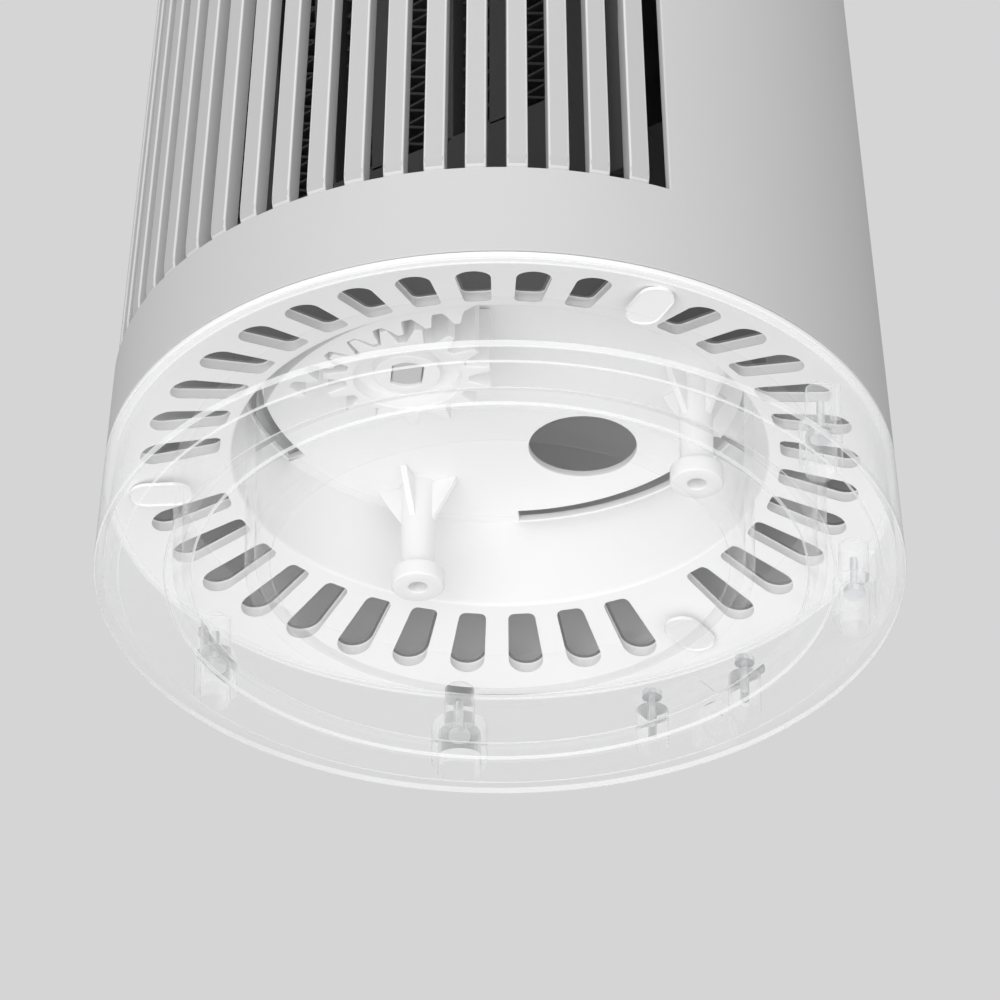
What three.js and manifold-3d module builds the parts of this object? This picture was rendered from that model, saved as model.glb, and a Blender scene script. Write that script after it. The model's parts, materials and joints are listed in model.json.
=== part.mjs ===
// Tower air purifier on a clear swing base.
// Millimetres, +Z up, front (the outlet louvre) towards -Y, origin on the floor under the tower's axis.
// The tower turns on its base: a geared motor above the recess drives a pinion along a fixed gear sector.

import * as THREE from "three";
import { mergeVertices } from "three/addons/utils/BufferGeometryUtils.js";
import Module from "manifold-3d";

const wasm = await Module();
wasm.setup();

// ---- Driving dimensions ----
const GAP = 0.3; // clearance between touching pieces
const HEIGHT = 420;
const RIM_RADIUS = 100; // outer radius where the tower meets the base
const RIM_Z = 30.5; // height of that joint
const TAPER = 0.0775; // loss of radius for each millimetre of height
const SHELL = 2.5; // wall of the tower shell
const ROUND = 36; // facets of a large circle

const FOOT = 1.5; // the foot ring stands this far below the base floor
const FLOOR_THICK = 2.5;
const BASE_WALL = 2.2;
const WELL_EDGE = 98.1; // how far out the screw wells reach
const WELLS = [{ angle: 49, radius: 5.5 }, { angle: 131, radius: 7.2 }, { angle: 4, radius: 5.5 },
  { angle: 176, radius: 5.5 }];
const CLAMP = { distance: 91, halfAngle: 9, top: 15 }; // its two posts flank the cord's way out
const CORD_EXIT_WIDTH = 9;

const HUB_RADIUS = 61.8; // inner radius of the base's hub wall
const HUB_WALL = 2.4;
const HOOK_ANGLES = [90, 210, 330];
const HOOK_WIDTH = 8; // degrees
const TRACK = { inner: 80, outer: 82.4, top: 30.9 };

const RECESS_Z = 61.8; // underside of the turntable's recess plate
const PLATE = 2.2; // thickness of that plate
const RECESS_RADIUS = 67.8; // recess radius at its mouth
const RECESS_TOP_RADIUS = 65.6;
const MOUTH_Z = 37.8; // height of the recess's mouth
const SLOT = { start: 70, end: 92, innerWidth: 8.8, outerWidth: 10.7, corner: 2.6, pitch: 10 };
const ARC_SLOT = { radius: 63, width: 4.5, span: 60 };
const CABLE_HOLE = { radius: 13.8, distance: 37.4 };
const POST_PLACES = [[35.9, 49.7], [147.7, 53]]; // angle, distance
const POST = { radius: 6.8, stem: 4.3, bore: 2.3, gusset: 10.6 };

const GEAR = { module: 2.5, pinionTeeth: 15, ringTeeth: 44, bottom: 43.2, height: 18 };
const PINION_ANGLE = 264.2;
const SECTOR = { from: 228, to: 300, height: 12 };
const SHAFT = { radius: 5, flat: 3.7 };

const WINDOW = { from: 210, to: 330, bottom: 59, top: 350 };
const SLATS = 19;
const SLAT_PITCH = 6.16; // degrees
const SLAT_WIDTH = 3.1; // degrees
const SLAT_DEPTH = 3.6;

const CORE = { y: -50, halfWidth: 50.4, bottom: 98, top: 294, columns: 6, pitch: 18, bar: 7, depth: 13 };
const FRAME_THICK = 2.5;
const FAN = { y: 4, radius: 30, bottom: 100, top: 292, blades: 18 };
const DECK = { lower: 88, upper: 297, thick: 3 };
const BAY = { halfWidth: 50, bottom: 120, top: 330 }; // rear opening for the intake cover
const FILTER = { halfWidth: 42, front: 45, back: 58, bottom: 123, top: 327 };
const CAP_Z = 408;
const PANEL_RADIUS = 46;
const BUTTON = { radius: 7, spacing: 24, y: 8, travel: 1 };

const radiusAt = (z) => RIM_RADIUS - TAPER * (z - RIM_Z);
const rad = THREE.MathUtils.degToRad;
const polar = (radius, degrees) => [radius * Math.cos(rad(degrees)), radius * Math.sin(rad(degrees))];

// ---- Solids ----

// A closed three.js geometry as a manifold solid.
function solid(geometry) {
  geometry.deleteAttribute("normal");
  geometry.deleteAttribute("uv");
  const merged = mergeVertices(geometry, 1e-4);
  const mesh = new wasm.Mesh({
    numProp: 3,
    vertProperties: merged.attributes.position.array,
    triVerts: new Uint32Array(merged.index.array),
  });
  return new wasm.Manifold(mesh);
}

// A manifold solid as a three.js geometry.
function geometryOf(body) {
  const mesh = body.getMesh();
  const geometry = new THREE.BufferGeometry();
  geometry.setAttribute("position", new THREE.BufferAttribute(mesh.vertProperties, 3));
  geometry.setIndex(new THREE.BufferAttribute(mesh.triVerts, 1));
  return geometry;
}

const union = (bodies) => bodies.reduce((whole, body) => whole.add(body));
const cut = (body, tools) => tools.reduce((left, tool) => left.subtract(tool), body);

// A solid of revolution about Z. The profile is [radius, z] points, anticlockwise with radius to the right.
function turned(profile, segments = ROUND) {
  const points = profile.map(([radius, z]) => new THREE.Vector2(radius, z));
  if (profile[0][0] > 0) points.push(points[0].clone());
  return solid(new THREE.LatheGeometry(points, segments).rotateX(Math.PI / 2));
}

// A ring with a rectangular section.
function ring(inner, outer, bottom, top, segments = ROUND) {
  return turned([[inner, bottom], [outer, bottom], [outer, top], [inner, top]], segments);
}

// A wall that follows the tower's cone, between two depths below its outer surface.
function coneWall(outerDepth, innerDepth, bottom, top) {
  return turned([
    [radiusAt(bottom) - innerDepth, bottom],
    [radiusAt(bottom) - outerDepth, bottom],
    [radiusAt(top) - outerDepth, top],
    [radiusAt(top) - innerDepth, top],
  ]);
}

// Everything inside the cone, a set depth below its outer surface.
function coneCore(depth, bottom, top) {
  return turned([[0, bottom], [radiusAt(bottom) - depth, bottom], [radiusAt(top) - depth, top], [0, top]]);
}

function box(x0, x1, y0, y1, z0, z1) {
  const geometry = new THREE.BoxGeometry(x1 - x0, y1 - y0, z1 - z0);
  return solid(geometry.translate((x0 + x1) / 2, (y0 + y1) / 2, (z0 + z1) / 2));
}

function cylinder(radius, x, y, bottom, top, segments = 24) {
  const geometry = new THREE.CylinderGeometry(radius, radius, top - bottom, segments);
  return solid(geometry.rotateX(Math.PI / 2).translate(x, y, (bottom + top) / 2));
}

function extruded(shape, bottom, top, curveSegments = 8) {
  const options = { depth: top - bottom, bevelEnabled: false, curveSegments };
  return solid(new THREE.ExtrudeGeometry(shape, options).translate(0, 0, bottom));
}

function polygon(points, bottom, top) {
  return extruded(new THREE.Shape(points.map(([x, y]) => new THREE.Vector2(x, y))), bottom, top);
}

// Points along an arc, from one angle to another in degrees.
function arc(x, y, radius, from, to, steps) {
  const points = [];
  for (let i = 0; i <= steps; i++) {
    const [dx, dy] = polar(radius, from + ((to - from) * i) / steps);
    points.push([x + dx, y + dy]);
  }
  return points;
}

// A wedge of a ring between two angles in degrees.
function sector(inner, outer, from, to, bottom, top, segments = 16) {
  const shape = new THREE.Shape();
  shape.absarc(0, 0, outer, rad(from), rad(to), false);
  shape.absarc(0, 0, inner, rad(to), rad(from), true);
  return extruded(shape, bottom, top, segments);
}

const turn = (body, degrees) => body.rotate([0, 0, degrees]);
const move = (body, x, y, z = 0) => body.translate([x, y, z]);

// ---- Materials ----

function material(name, color, roughness, metalness = 0, opacity = 1) {
  const made = new THREE.MeshStandardMaterial({ color, roughness, metalness });
  made.name = name;
  made.opacity = opacity;
  made.transparent = opacity < 1;
  return made;
}
const shellGrey = material("shell_grey", 0xc9c9c9, 0.5);
const plateWhite = material("plate_white", 0xf2f2f2, 0.45);
const clear = material("clear_plastic", 0xf4f6f7, 0.08, 0, 0.3);
const clearRubber = material("clear_rubber", 0xe6e8e8, 0.5, 0, 0.5);
const darkPlastic = material("dark_plastic", 0x2b2b2d, 0.6);
const finDark = material("fin_dark", 0x3a3a3c, 0.45, 0.6);
const steel = material("steel", 0xb9bbbd, 0.3, 1);
const board = material("board_green", 0x24503a, 0.5);
const paper = material("filter_paper", 0xe9e7e0, 0.9);
const gloss = material("panel_gloss", 0x17181a, 0.12);

const group = new THREE.Group();

function add(name, body, look) {
  const mesh = new THREE.Mesh(geometryOf(body), look);
  mesh.name = name;
  group.add(mesh);
}

// A pan-head screw with its head down at the origin and its shank up.
function screwUp(length, shank = 1.4, head = 2.8) {
  return turned([[0, 0], [head, 0], [head, 1.6], [shank, 1.6], [shank, length], [0, length]], 12);
}

// ---- Base ----

const FLOOR_TOP = FOOT + FLOOR_THICK;
const WELL = { wall: 1.6, top: 16, roof: 2.5, postTop: 27, bore: 1.3 };
const wellPlaces = WELLS.map(({ angle, radius }) => {
  const [x, y] = polar(WELL_EDGE - radius, angle);
  return { angle, radius, x, y };
});
const clampPlaces = [-1, 1].map((side) => polar(CLAMP.distance, 90 + side * CLAMP.halfAngle));

// The outer wall stands on the floor's rim, with a screw post above each well and an arched notch for the cord.
function baseShell() {
  const top = RIM_Z - GAP;
  const wall = coneWall(0, BASE_WALL, FLOOR_TOP + GAP, top);
  const postBottom = WELL.top + GAP;
  const posts = wellPlaces.map(({ angle, radius, x, y }) => {
    const rib = turn(box(WELL_EDGE - radius, WELL_EDGE + 1.5, -1, 1, postBottom, WELL.postTop), angle);
    const post = cylinder(4, x, y, postBottom, WELL.postTop, 16).add(rib);
    return post.subtract(cylinder(WELL.bore, x, y, 0, WELL.postTop - 2, 10));
  });
  return union([wall, ...posts]).subtract(cordArch(CORD_EXIT_WIDTH / 2, 0, 90, 110));
}

// An arch that runs out through the rear wall: straight sides and a round top.
const ARCH_CENTRE = 9.5;
function cordArch(half, bottom, from, to) {
  const shape = new THREE.Shape();
  shape.moveTo(-half, bottom);
  shape.lineTo(half, bottom);
  shape.absarc(0, ARCH_CENTRE, half, 0, Math.PI, false);
  return extruded(shape, -to, -from, 5).rotate([90, 0, 0]);
}

// The gland that holds the cord in the notch, with a flange inside the wall.
function cordGland() {
  const y = RIM_RADIUS;
  const body = cordArch(CORD_EXIT_WIDTH / 2 - GAP, FLOOR_TOP + GAP, y - 4, y + 1.8);
  const flange = cordArch(CORD_EXIT_WIDTH / 2 + 1.6, FLOOR_TOP + GAP, y - 4, y - 2.2);
  const bore = cylinder(3.1, 0, 0, -120, -90, 16).rotate([90, 0, 0]).translate([0, 0, ARCH_CENTRE]);
  return body.add(flange).subtract(bore);
}

// The floor, stepped in rings, with a groove for the foot ring, screw wells and two posts for the cord clamp.
const FOOT_RING = { inner: 77.5, outer: 84.5, depth: 0.8 };
function baseFloor() {
  const step = FOOT + 0.6;
  const disc = turned([
    [0, FOOT],
    [FOOT_RING.inner, FOOT],
    [FOOT_RING.inner, FOOT + FOOT_RING.depth],
    [FOOT_RING.outer, FOOT + FOOT_RING.depth],
    [FOOT_RING.outer, FOOT],
    [96, FOOT],
    [96, step],
    [radiusAt(step), step],
    [radiusAt(FLOOR_TOP), FLOOR_TOP],
    [0, FLOOR_TOP],
  ]);
  const cups = wellPlaces.map(({ radius, x, y }) => cylinder(radius, x, y, FOOT + 1, WELL.top, 20));
  const bores = wellPlaces.map(({ radius, x, y }) => {
    const cup = cylinder(radius - WELL.wall, x, y, 0, WELL.top - WELL.roof, 20);
    return cup.add(cylinder(1.7, x, y, 0, WELL.top + 1, 10));
  });
  const clampPosts = clampPlaces.map(([x, y]) => cylinder(4.2, x, y, FLOOR_TOP - 1, CLAMP.top, 16));
  const clampBores = clampPlaces.map(([x, y]) => cylinder(1.2, x, y, FLOOR_TOP + 2, CLAMP.top + 1, 10));
  return cut(union([disc, ...cups, ...clampPosts]), [...bores, ...clampBores]);
}

// The hub wall that centres the turntable, with hooks that pass through its arc slots.
const HOOK_TOP = RECESS_Z + PLATE + 2.6;
function baseHub() {
  const wallTop = RECESS_Z - 0.5;
  const outer = HUB_RADIUS + HUB_WALL;
  const wall = ring(HUB_RADIUS, outer, FLOOR_TOP, wallTop);
  const foot = ring(HUB_RADIUS - 4, outer, FLOOR_TOP, FLOOR_TOP + 2);
  const hooks = HOOK_ANGLES.map((angle) => {
    const from = angle - HOOK_WIDTH / 2;
    const to = angle + HOOK_WIDTH / 2;
    const stem = sector(HUB_RADIUS, outer, from, to, wallTop - 1, HOOK_TOP, 4);
    const barbBottom = RECESS_Z + PLATE + 0.6;
    return stem.add(sector(HUB_RADIUS, outer + 2.4, from, to, barbBottom, HOOK_TOP, 4));
  });
  return union([wall, foot, ...hooks]);
}

add("base_shell", baseShell(), clear);
add("base_floor", baseFloor(), clear);
add("base_hub", baseHub(), clear);
add("bearing_track", ring(TRACK.inner, TRACK.outer, FLOOR_TOP, TRACK.top - GAP), clear);
const footTop = FOOT + FOOT_RING.depth - GAP;
add("foot_ring", ring(FOOT_RING.inner + GAP, FOOT_RING.outer - GAP, 0, footTop), clearRubber);

wellPlaces.forEach(({ x, y }, i) => {
  add(`base_screw_${i + 1}`, move(screwUp(11, 1), x, y, WELL.top - WELL.roof - 1.6 - GAP), steel);
});

// The clamp bar bridges the cord's way out and is screwed down to its two posts.
function cordClamp() {
  const [x, y] = clampPlaces[0];
  const bar = box(-x - 4, x + 4, y - 3.4, y + 3.4, CLAMP.top + GAP, CLAMP.top + 3.5);
  const holes = clampPlaces.map(([holeX]) => cylinder(1.5, holeX, y, 0, 30, 12));
  const saddle = cylinder(4, 0, 0, -20, 20, 16).rotate([90, 0, 0]);
  return cut(bar, [...holes, move(saddle, 0, y, CLAMP.top - 1.6)]);
}
add("cord_clamp", cordClamp(), clear);
add("cord_gland", cordGland(), clearRubber);
clampPlaces.forEach(([x, y], i) => {
  const screw = screwUp(10, 0.9, 2.6).rotate([180, 0, 0]);
  add(`cord_clamp_screw_${i + 1}`, move(screw, x, y, CLAMP.top + 5.4), steel);
});

// ---- Swing gears ----

// The outline of one gear tooth as [radius, angle] offsets from the tooth's middle, for a gear of a pitch radius.
function toothFlanks(pitchRadius, inward) {
  const half = 90 / (pitchRadius * 2 / GEAR.module); // half a tooth at the pitch circle, in degrees
  const tip = pitchRadius + (inward ? -0.9 : 1) * GEAR.module;
  const root = pitchRadius + (inward ? 1.2 : -1.25) * GEAR.module;
  const tipHalf = half * 0.45;
  const rootHalf = half * 1.42;
  return [[root, -rootHalf], [pitchRadius, -half * 0.9], [tip, -tipHalf], [tip, tipHalf],
    [pitchRadius, half * 0.9], [root, rootHalf]];
}

const ringPitch = GEAR.module * GEAR.ringTeeth / 2;
const pinionPitch = GEAR.module * GEAR.pinionTeeth / 2;
const [pinionX, pinionY] = polar(ringPitch - pinionPitch, PINION_ANGLE);

// Inner teeth on an arm that stands from the hub's wall. A gap of the ring faces the pinion's middle tooth.
function gearSector() {
  const pitch = 360 / GEAR.ringTeeth;
  const outline = [];
  const first = Math.ceil((SECTOR.from - PINION_ANGLE) / pitch);
  const last = Math.floor((SECTOR.to - PINION_ANGLE) / pitch) - 1;
  for (let tooth = first; tooth <= last; tooth++) {
    const middle = PINION_ANGLE + (tooth + 0.5) * pitch;
    toothFlanks(ringPitch, true).forEach(([radius, angle]) => outline.push(polar(radius, middle + angle)));
  }
  const outer = HUB_RADIUS - 2 * GAP;
  for (let angle = SECTOR.to; angle >= SECTOR.from; angle -= 4) outline.push(polar(outer, angle));
  return polygon(outline, GEAR.bottom, GEAR.bottom + SECTOR.height);
}

// The drive pinion: an annular groove round its boss, and a double-D bore for the shaft.
function pinion() {
  const outline = [];
  for (let tooth = 0; tooth < GEAR.pinionTeeth; tooth++) {
    const middle = PINION_ANGLE + (tooth * 360) / GEAR.pinionTeeth;
    toothFlanks(pinionPitch, false).forEach(([radius, angle]) => outline.push(polar(radius, middle + angle)));
  }
  const wheel = polygon(outline, GEAR.bottom, GEAR.bottom + GEAR.height);
  const groove = ring(8.4, 13.6, GEAR.bottom - 1, GEAR.bottom + 3.7, 24);
  const recess = cylinder(8.5, 0, 0, GEAR.bottom - 1, GEAR.bottom + 0.9, 24);
  const bore = doubleD(SHAFT.radius + GAP, SHAFT.flat + GAP, GEAR.bottom - 1, GEAR.bottom + GEAR.height + 1);
  return move(cut(wheel, [groove, recess, bore]), pinionX, pinionY);
}

// A round bar with two flats.
function doubleD(radius, flat, bottom, top) {
  const bar = cylinder(radius, 0, 0, bottom, top, 24);
  const slab = box(-radius, radius, -flat, flat, bottom, top);
  return turn(bar.intersect(slab), PINION_ANGLE + 45);
}

add("gear_sector", gearSector(), plateWhite);
add("drive_pinion", pinion(), plateWhite);

// ---- Turntable ----

const PLATE_TOP = RECESS_Z + PLATE;
const FACE_THICK = 3.6;

// One air slot: round at its outer end, nearly square at its inner end.
function airSlot() {
  const { start, end, innerWidth, outerWidth, corner } = SLOT;
  const outerRadius = outerWidth / 2;
  const inner = innerWidth / 2;
  const outline = [
    ...arc(end - outerRadius, 0, outerRadius, -90, 90, 8),
    ...arc(start + corner, inner - corner, corner, 90, 180, 2),
    ...arc(start + corner, corner - inner, corner, 180, 270, 2),
  ];
  return polygon(outline, RIM_Z - 5, RIM_Z + 20);
}

// A post hangs from the recess plate: four gussets at its root, a slim stem and a bored boss at its foot.
function turntablePost() {
  const gussets = [45, 135].map((angle) => {
    const wide = POST.gusset;
    const narrow = POST.stem - 0.5;
    const outline = [[-wide, 0], [-narrow, -13], [narrow, -13], [wide, 0], [wide, 0.5], [-wide, 0.5]];
    const web = polygon(outline, -0.9, 0.9).rotate([90, 0, 0]);
    return turn(web, angle).translate([0, 0, RECESS_Z]);
  });
  const stem = cylinder(POST.stem, 0, 0, RIM_Z + 3, RECESS_Z + 0.5, 20);
  const boss = cylinder(POST.radius, 0, 0, RIM_Z, RIM_Z + 4.8, 28);
  const bore = cylinder(POST.bore, 0, 0, RIM_Z - 1, RIM_Z + 14, 16);
  return union([stem, boss, ...gussets]).subtract(bore);
}

const BLANKS = HOOK_ANGLES; // the slot places left solid, where the glide pads sit
const PAD_RADIUS = 86;
const faceZ = (radius) => RIM_Z + ((98 - radius) / (98 - RECESS_RADIUS)) * (MOUTH_Z - RIM_Z);

function turntable() {
  const dish = turned([
    [0, RECESS_Z],
    [RECESS_TOP_RADIUS, RECESS_Z],
    [RECESS_RADIUS, MOUTH_Z],
    [98, RIM_Z],
    [RIM_RADIUS, RIM_Z],
    [RIM_RADIUS - 0.1, RIM_Z + 1.5],
    [96.8, RIM_Z + 1.5],
    [96.6, 37],
    [94.8, 37],
    [94.8, faceZ(94.8) + FACE_THICK],
    [RECESS_RADIUS + 2, faceZ(RECESS_RADIUS + 2) + FACE_THICK],
    [RECESS_TOP_RADIUS + 2, PLATE_TOP],
    [0, PLATE_TOP],
  ]);
  const slots = [];
  for (let angle = 0; angle < 360; angle += SLOT.pitch) {
    if (!BLANKS.includes(angle)) slots.push(turn(airSlot(), angle));
  }
  const half = ARC_SLOT.width / 2;
  const arcs = HOOK_ANGLES.map((angle) => sector(
    ARC_SLOT.radius - half, ARC_SLOT.radius + half,
    angle - ARC_SLOT.span / 2, angle + ARC_SLOT.span / 2, RECESS_Z - 1, PLATE_TOP + 1, 12,
  ));
  const cable = cylinder(CABLE_HOLE.radius, 0, CABLE_HOLE.distance, RECESS_Z - 1, PLATE_TOP + 1, 28);
  const shaftHole = cylinder(SHAFT.radius + 1, pinionX, pinionY, RECESS_Z - 1, PLATE_TOP + 1, 24);
  const padHoles = BLANKS.map((angle) => {
    const [x, y] = polar(PAD_RADIUS, angle);
    return cylinder(2.3, x, y, RIM_Z - 1, RIM_Z + 12, 12);
  });
  const posts = POST_PLACES.map(([angle, distance]) => move(turn(turntablePost(), angle), ...polar(distance, angle)));
  return cut(dish, [...slots, ...arcs, cable, shaftHole, ...padHoles]).add(union(posts));
}
add("turntable_plate", turntable(), plateWhite);

// A glide pad: a round-ended shoe under the plate, with a peg up through it.
function glidePad() {
  const shape = new THREE.Shape();
  shape.absarc(3.4, 0, 4.6, -Math.PI / 2, Math.PI / 2, false);
  shape.absarc(-3.4, 0, 4.6, Math.PI / 2, Math.PI * 1.5, false);
  const shoe = extruded(shape, TRACK.top, faceZ(PAD_RADIUS + 8) - GAP, 6);
  return shoe.add(cylinder(2, 0, 0, TRACK.top, faceZ(PAD_RADIUS) + FACE_THICK, 12));
}
BLANKS.forEach((angle, i) => {
  add(`glide_pad_${i + 1}`, move(turn(glidePad(), angle), ...polar(PAD_RADIUS, angle)), plateWhite);
});

// ---- Tower shell and louvre ----

const SHELL_BOTTOM = RIM_Z + 1.5 + GAP;
function towerShell() {
  const wall = coneWall(0, SHELL, SHELL_BOTTOM, CAP_Z);
  const front = sector(40, 120, WINDOW.from, WINDOW.to, WINDOW.bottom, WINDOW.top, 4);
  const rear = box(-BAY.halfWidth, BAY.halfWidth, 10, 120, BAY.bottom, BAY.top);
  return cut(wall, [front, rear]);
}
add("tower_shell", towerShell(), shellGrey);

// Upright slats joined by two curved rails that lie behind the shell's bands.
function louvre() {
  const outer = 0.5;
  const behind = SHELL + GAP;
  const railDepth = 2.2;
  const from = WINDOW.from - 1;
  const to = WINDOW.to + 1;
  const span = (bottom, top, a, b) => sector(40, 120, a, b, bottom, top, 4);
  const rails = [[WINDOW.bottom - 9, WINDOW.bottom - 2], [WINDOW.top + 2, WINDOW.top + 9]].map(([low, high]) =>
    coneWall(behind, behind + railDepth, low, high).intersect(span(low - 1, high + 1, from, to)));
  const face = coneWall(outer, outer + SLAT_DEPTH, WINDOW.bottom + GAP, WINDOW.top - GAP);
  const back = coneWall(behind, behind + railDepth, WINDOW.bottom - 8, WINDOW.top + 8);
  const slats = [];
  for (let i = 0; i < SLATS; i++) {
    const middle = 270 + (i - (SLATS - 1) / 2) * SLAT_PITCH;
    slats.push(span(WINDOW.bottom - 8, WINDOW.top + 8, middle - SLAT_WIDTH / 2, middle + SLAT_WIDTH / 2));
  }
  return union([face.add(back).intersect(union(slats)), ...rails]);
}
add("louvre_grille", louvre(), shellGrey);

// ---- Outlet core ----

const CORE_BACK = CORE.y + CORE.depth;
const columnX = (i) => (i - (CORE.columns - 1) / 2) * CORE.pitch;

// A flat frame across the tower behind the louvre, with an upright bar between each pair of fin columns.
function outletFrame() {
  const slab = box(-110, 110, CORE.y - FRAME_THICK, CORE.y, HOOK_TOP + 1.5, WINDOW.top - 4);
  const inside = coneCore(SHELL + 3, PLATE_TOP, WINDOW.top);
  const opening = box(-CORE.halfWidth, CORE.halfWidth, CORE.y - 9, CORE.y + 9, CORE.bottom, CORE.top);
  const bars = [];
  for (let i = 0; i < CORE.columns - 1; i++) {
    const x = (columnX(i) + columnX(i + 1)) / 2;
    const half = CORE.bar / 2;
    bars.push(box(x - half, x + half, CORE.y - FRAME_THICK, CORE_BACK, CORE.bottom - 1, CORE.top + 1));
  }
  return union([slab.intersect(inside).subtract(opening), ...bars]);
}
add("outlet_frame", outletFrame(), darkPlastic);

const finHalf = (CORE.pitch - CORE.bar) / 2 - GAP;
for (let i = 0; i < CORE.columns; i++) {
  const x = columnX(i);
  const column = box(x - finHalf, x + finHalf, CORE.y + GAP, CORE_BACK, CORE.bottom + GAP, CORE.top - GAP);
  add(`fin_column_${i + 1}`, column, finDark);
}

// ---- Fan ----

const DUCT_BOTTOM = DECK.lower + DECK.thick + GAP;
const DUCT_TOP = DECK.upper - GAP;

// A wall of even thickness along a smooth plan curve.
function curvedWall(points, thickness) {
  const curve = new THREE.CatmullRomCurve3(points.map(([x, y]) => new THREE.Vector3(x, y, 0)));
  const steps = 18;
  const left = [];
  const right = [];
  for (let i = 0; i <= steps; i++) {
    const at = curve.getPoint(i / steps);
    const along = curve.getTangent(i / steps);
    const nx = (-along.y * thickness) / 2;
    const ny = (along.x * thickness) / 2;
    left.push([at.x + nx, at.y + ny]);
    right.unshift([at.x - nx, at.y - ny]);
  }
  return polygon([...right, ...left], DUCT_BOTTOM, DUCT_TOP);
}

// The scroll runs from the filter side round the impeller, widening to the outlet's right edge.
const scrollRoute = [[27, 37], [37, 26], [43, 8], [48, -14], [53.5, -36]];
// The tongue closes the outlet's left edge and turns back close to the impeller.
const tongueRoute = [[-53.5, -36], [-48, -16], [-42, -6], [-35.5, -8], [-37, 4], [-44, 20], [-49, 36]];
add("scroll_wall", curvedWall(scrollRoute, 2), darkPlastic);
add("vortex_tongue", curvedWall(tongueRoute, 2), darkPlastic);

// A cross-flow impeller: blades between end discs and a middle disc, a stub below and the shaft above.
function impeller() {
  const { radius, bottom, top, blades } = FAN;
  const discs = [bottom, (bottom + top) / 2 - 1, top - 2].map((z) => cylinder(radius, 0, 0, z, z + 2, 28));
  const shaft = cylinder(2.5, 0, 0, bottom - 9, bottom + 1, 14).add(cylinder(2.5, 0, 0, top - 1, top + 26, 14));
  const blade = [...arc(radius - 6, 6.5, 8, -75, 0, 3), ...arc(radius - 6, 6.5, 7, 0, -75, 3)];
  const vane = polygon(blade, bottom + 1, top - 1);
  const vanes = [];
  for (let i = 0; i < blades; i++) vanes.push(turn(vane, (i * 360) / blades));
  const inside = cylinder(radius - 0.2, 0, 0, bottom, top, 28);
  return move(union([...discs, shaft, union(vanes).intersect(inside)]), 0, FAN.y);
}
add("impeller", impeller(), darkPlastic);

// A deck fills the tower's section between the outlet core and a rear line.
function deck(z, rearLine) {
  const disc = coneCore(SHELL + 0.6, z, z + DECK.thick);
  return disc.intersect(box(-110, 110, CORE_BACK + 0.8, rearLine, z - 1, z + DECK.thick + 1));
}
const lowerDeck = deck(DECK.lower, 56).subtract(cylinder(5.5, 0, FAN.y, 0, 200, 20));
const upperDeck = deck(DECK.upper, 39.5).subtract(cylinder(6.4, 0, FAN.y, 200, 400, 20));
add("lower_deck", lowerDeck, darkPlastic);
add("upper_deck", upperDeck, darkPlastic);
const bush = turned([[2.8, 87], [7.5, 87], [7.5, 87.7], [5.2, 87.7], [5.2, 93], [2.8, 93]], 16);
add("lower_bush", move(bush, 0, FAN.y), steel);

function fanMotor() {
  const base = DECK.upper + DECK.thick + GAP;
  const can = turned([[2.9, base - 4.5], [6, base - 4.5], [6, base], [30, base], [30, base + 32], [27, base + 35],
    [0, base + 35], [0, base + 30], [2.9, base + 30]], 28);
  return move(can, 0, FAN.y);
}
add("fan_motor", fanMotor(), steel);

// The inlet guard stands between the filter and the impeller.
function inletGuard() {
  const y = 40;
  const plate = box(-52, 52, y, y + 2.5, BAY.bottom, BAY.top - 4);
  const openings = [];
  for (let row = 0; row < 4; row++) {
    for (let side = -1; side <= 1; side += 2) {
      const z = FILTER.bottom + 5 + row * 49;
      openings.push(box(side * 21 - 18, side * 21 + 18, y - 5, y + 9, z, z + 43));
    }
  }
  const upper = coneCore(SHELL + 0.6, BAY.bottom - 1, BAY.top + 1);
  return cut(plate, openings).intersect(upper);
}
add("inlet_guard", inletGuard(), darkPlastic);

// ---- Rear cover and filter ----

function rearCover() {
  const clearance = 0.4;
  const half = BAY.halfWidth - clearance;
  const wall = coneWall(0, SHELL, BAY.bottom + clearance, BAY.top - clearance);
  const panel = wall.intersect(box(-half, half, 10, 120, BAY.bottom, BAY.top));
  const slots = [];
  for (let i = -5; i <= 5; i++) slots.push(box(i * 8 - 2, i * 8 + 2, 20, 120, BAY.bottom + 14, BAY.top - 14));
  const clips = [FILTER.bottom + 1, FILTER.top - 3].map((z) =>
    box(-8, 8, FILTER.back + GAP, radiusAt(z) - 1, z, z + 2));
  return cut(panel, slots).add(union(clips));
}
add("rear_cover", rearCover(), shellGrey);

function filterFrame() {
  const { halfWidth, front, back, bottom, top } = FILTER;
  const outer = box(-halfWidth, halfWidth, front, back, bottom, top);
  const wall = 3;
  return outer.subtract(box(wall - halfWidth, halfWidth - wall, front - 1, back + 1, bottom + wall, top - wall));
}
add("filter_frame", filterFrame(), plateWhite);
const mediaHalf = FILTER.halfWidth - 3 - GAP;
const mediaFront = FILTER.front + 1;
const mediaBack = FILTER.back - 1;
const media = box(-mediaHalf, mediaHalf, mediaFront, mediaBack, FILTER.bottom + 3 + GAP, FILTER.top - 3 - GAP);
add("filter_media", media, paper);

// ---- Swing motor ----

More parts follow.
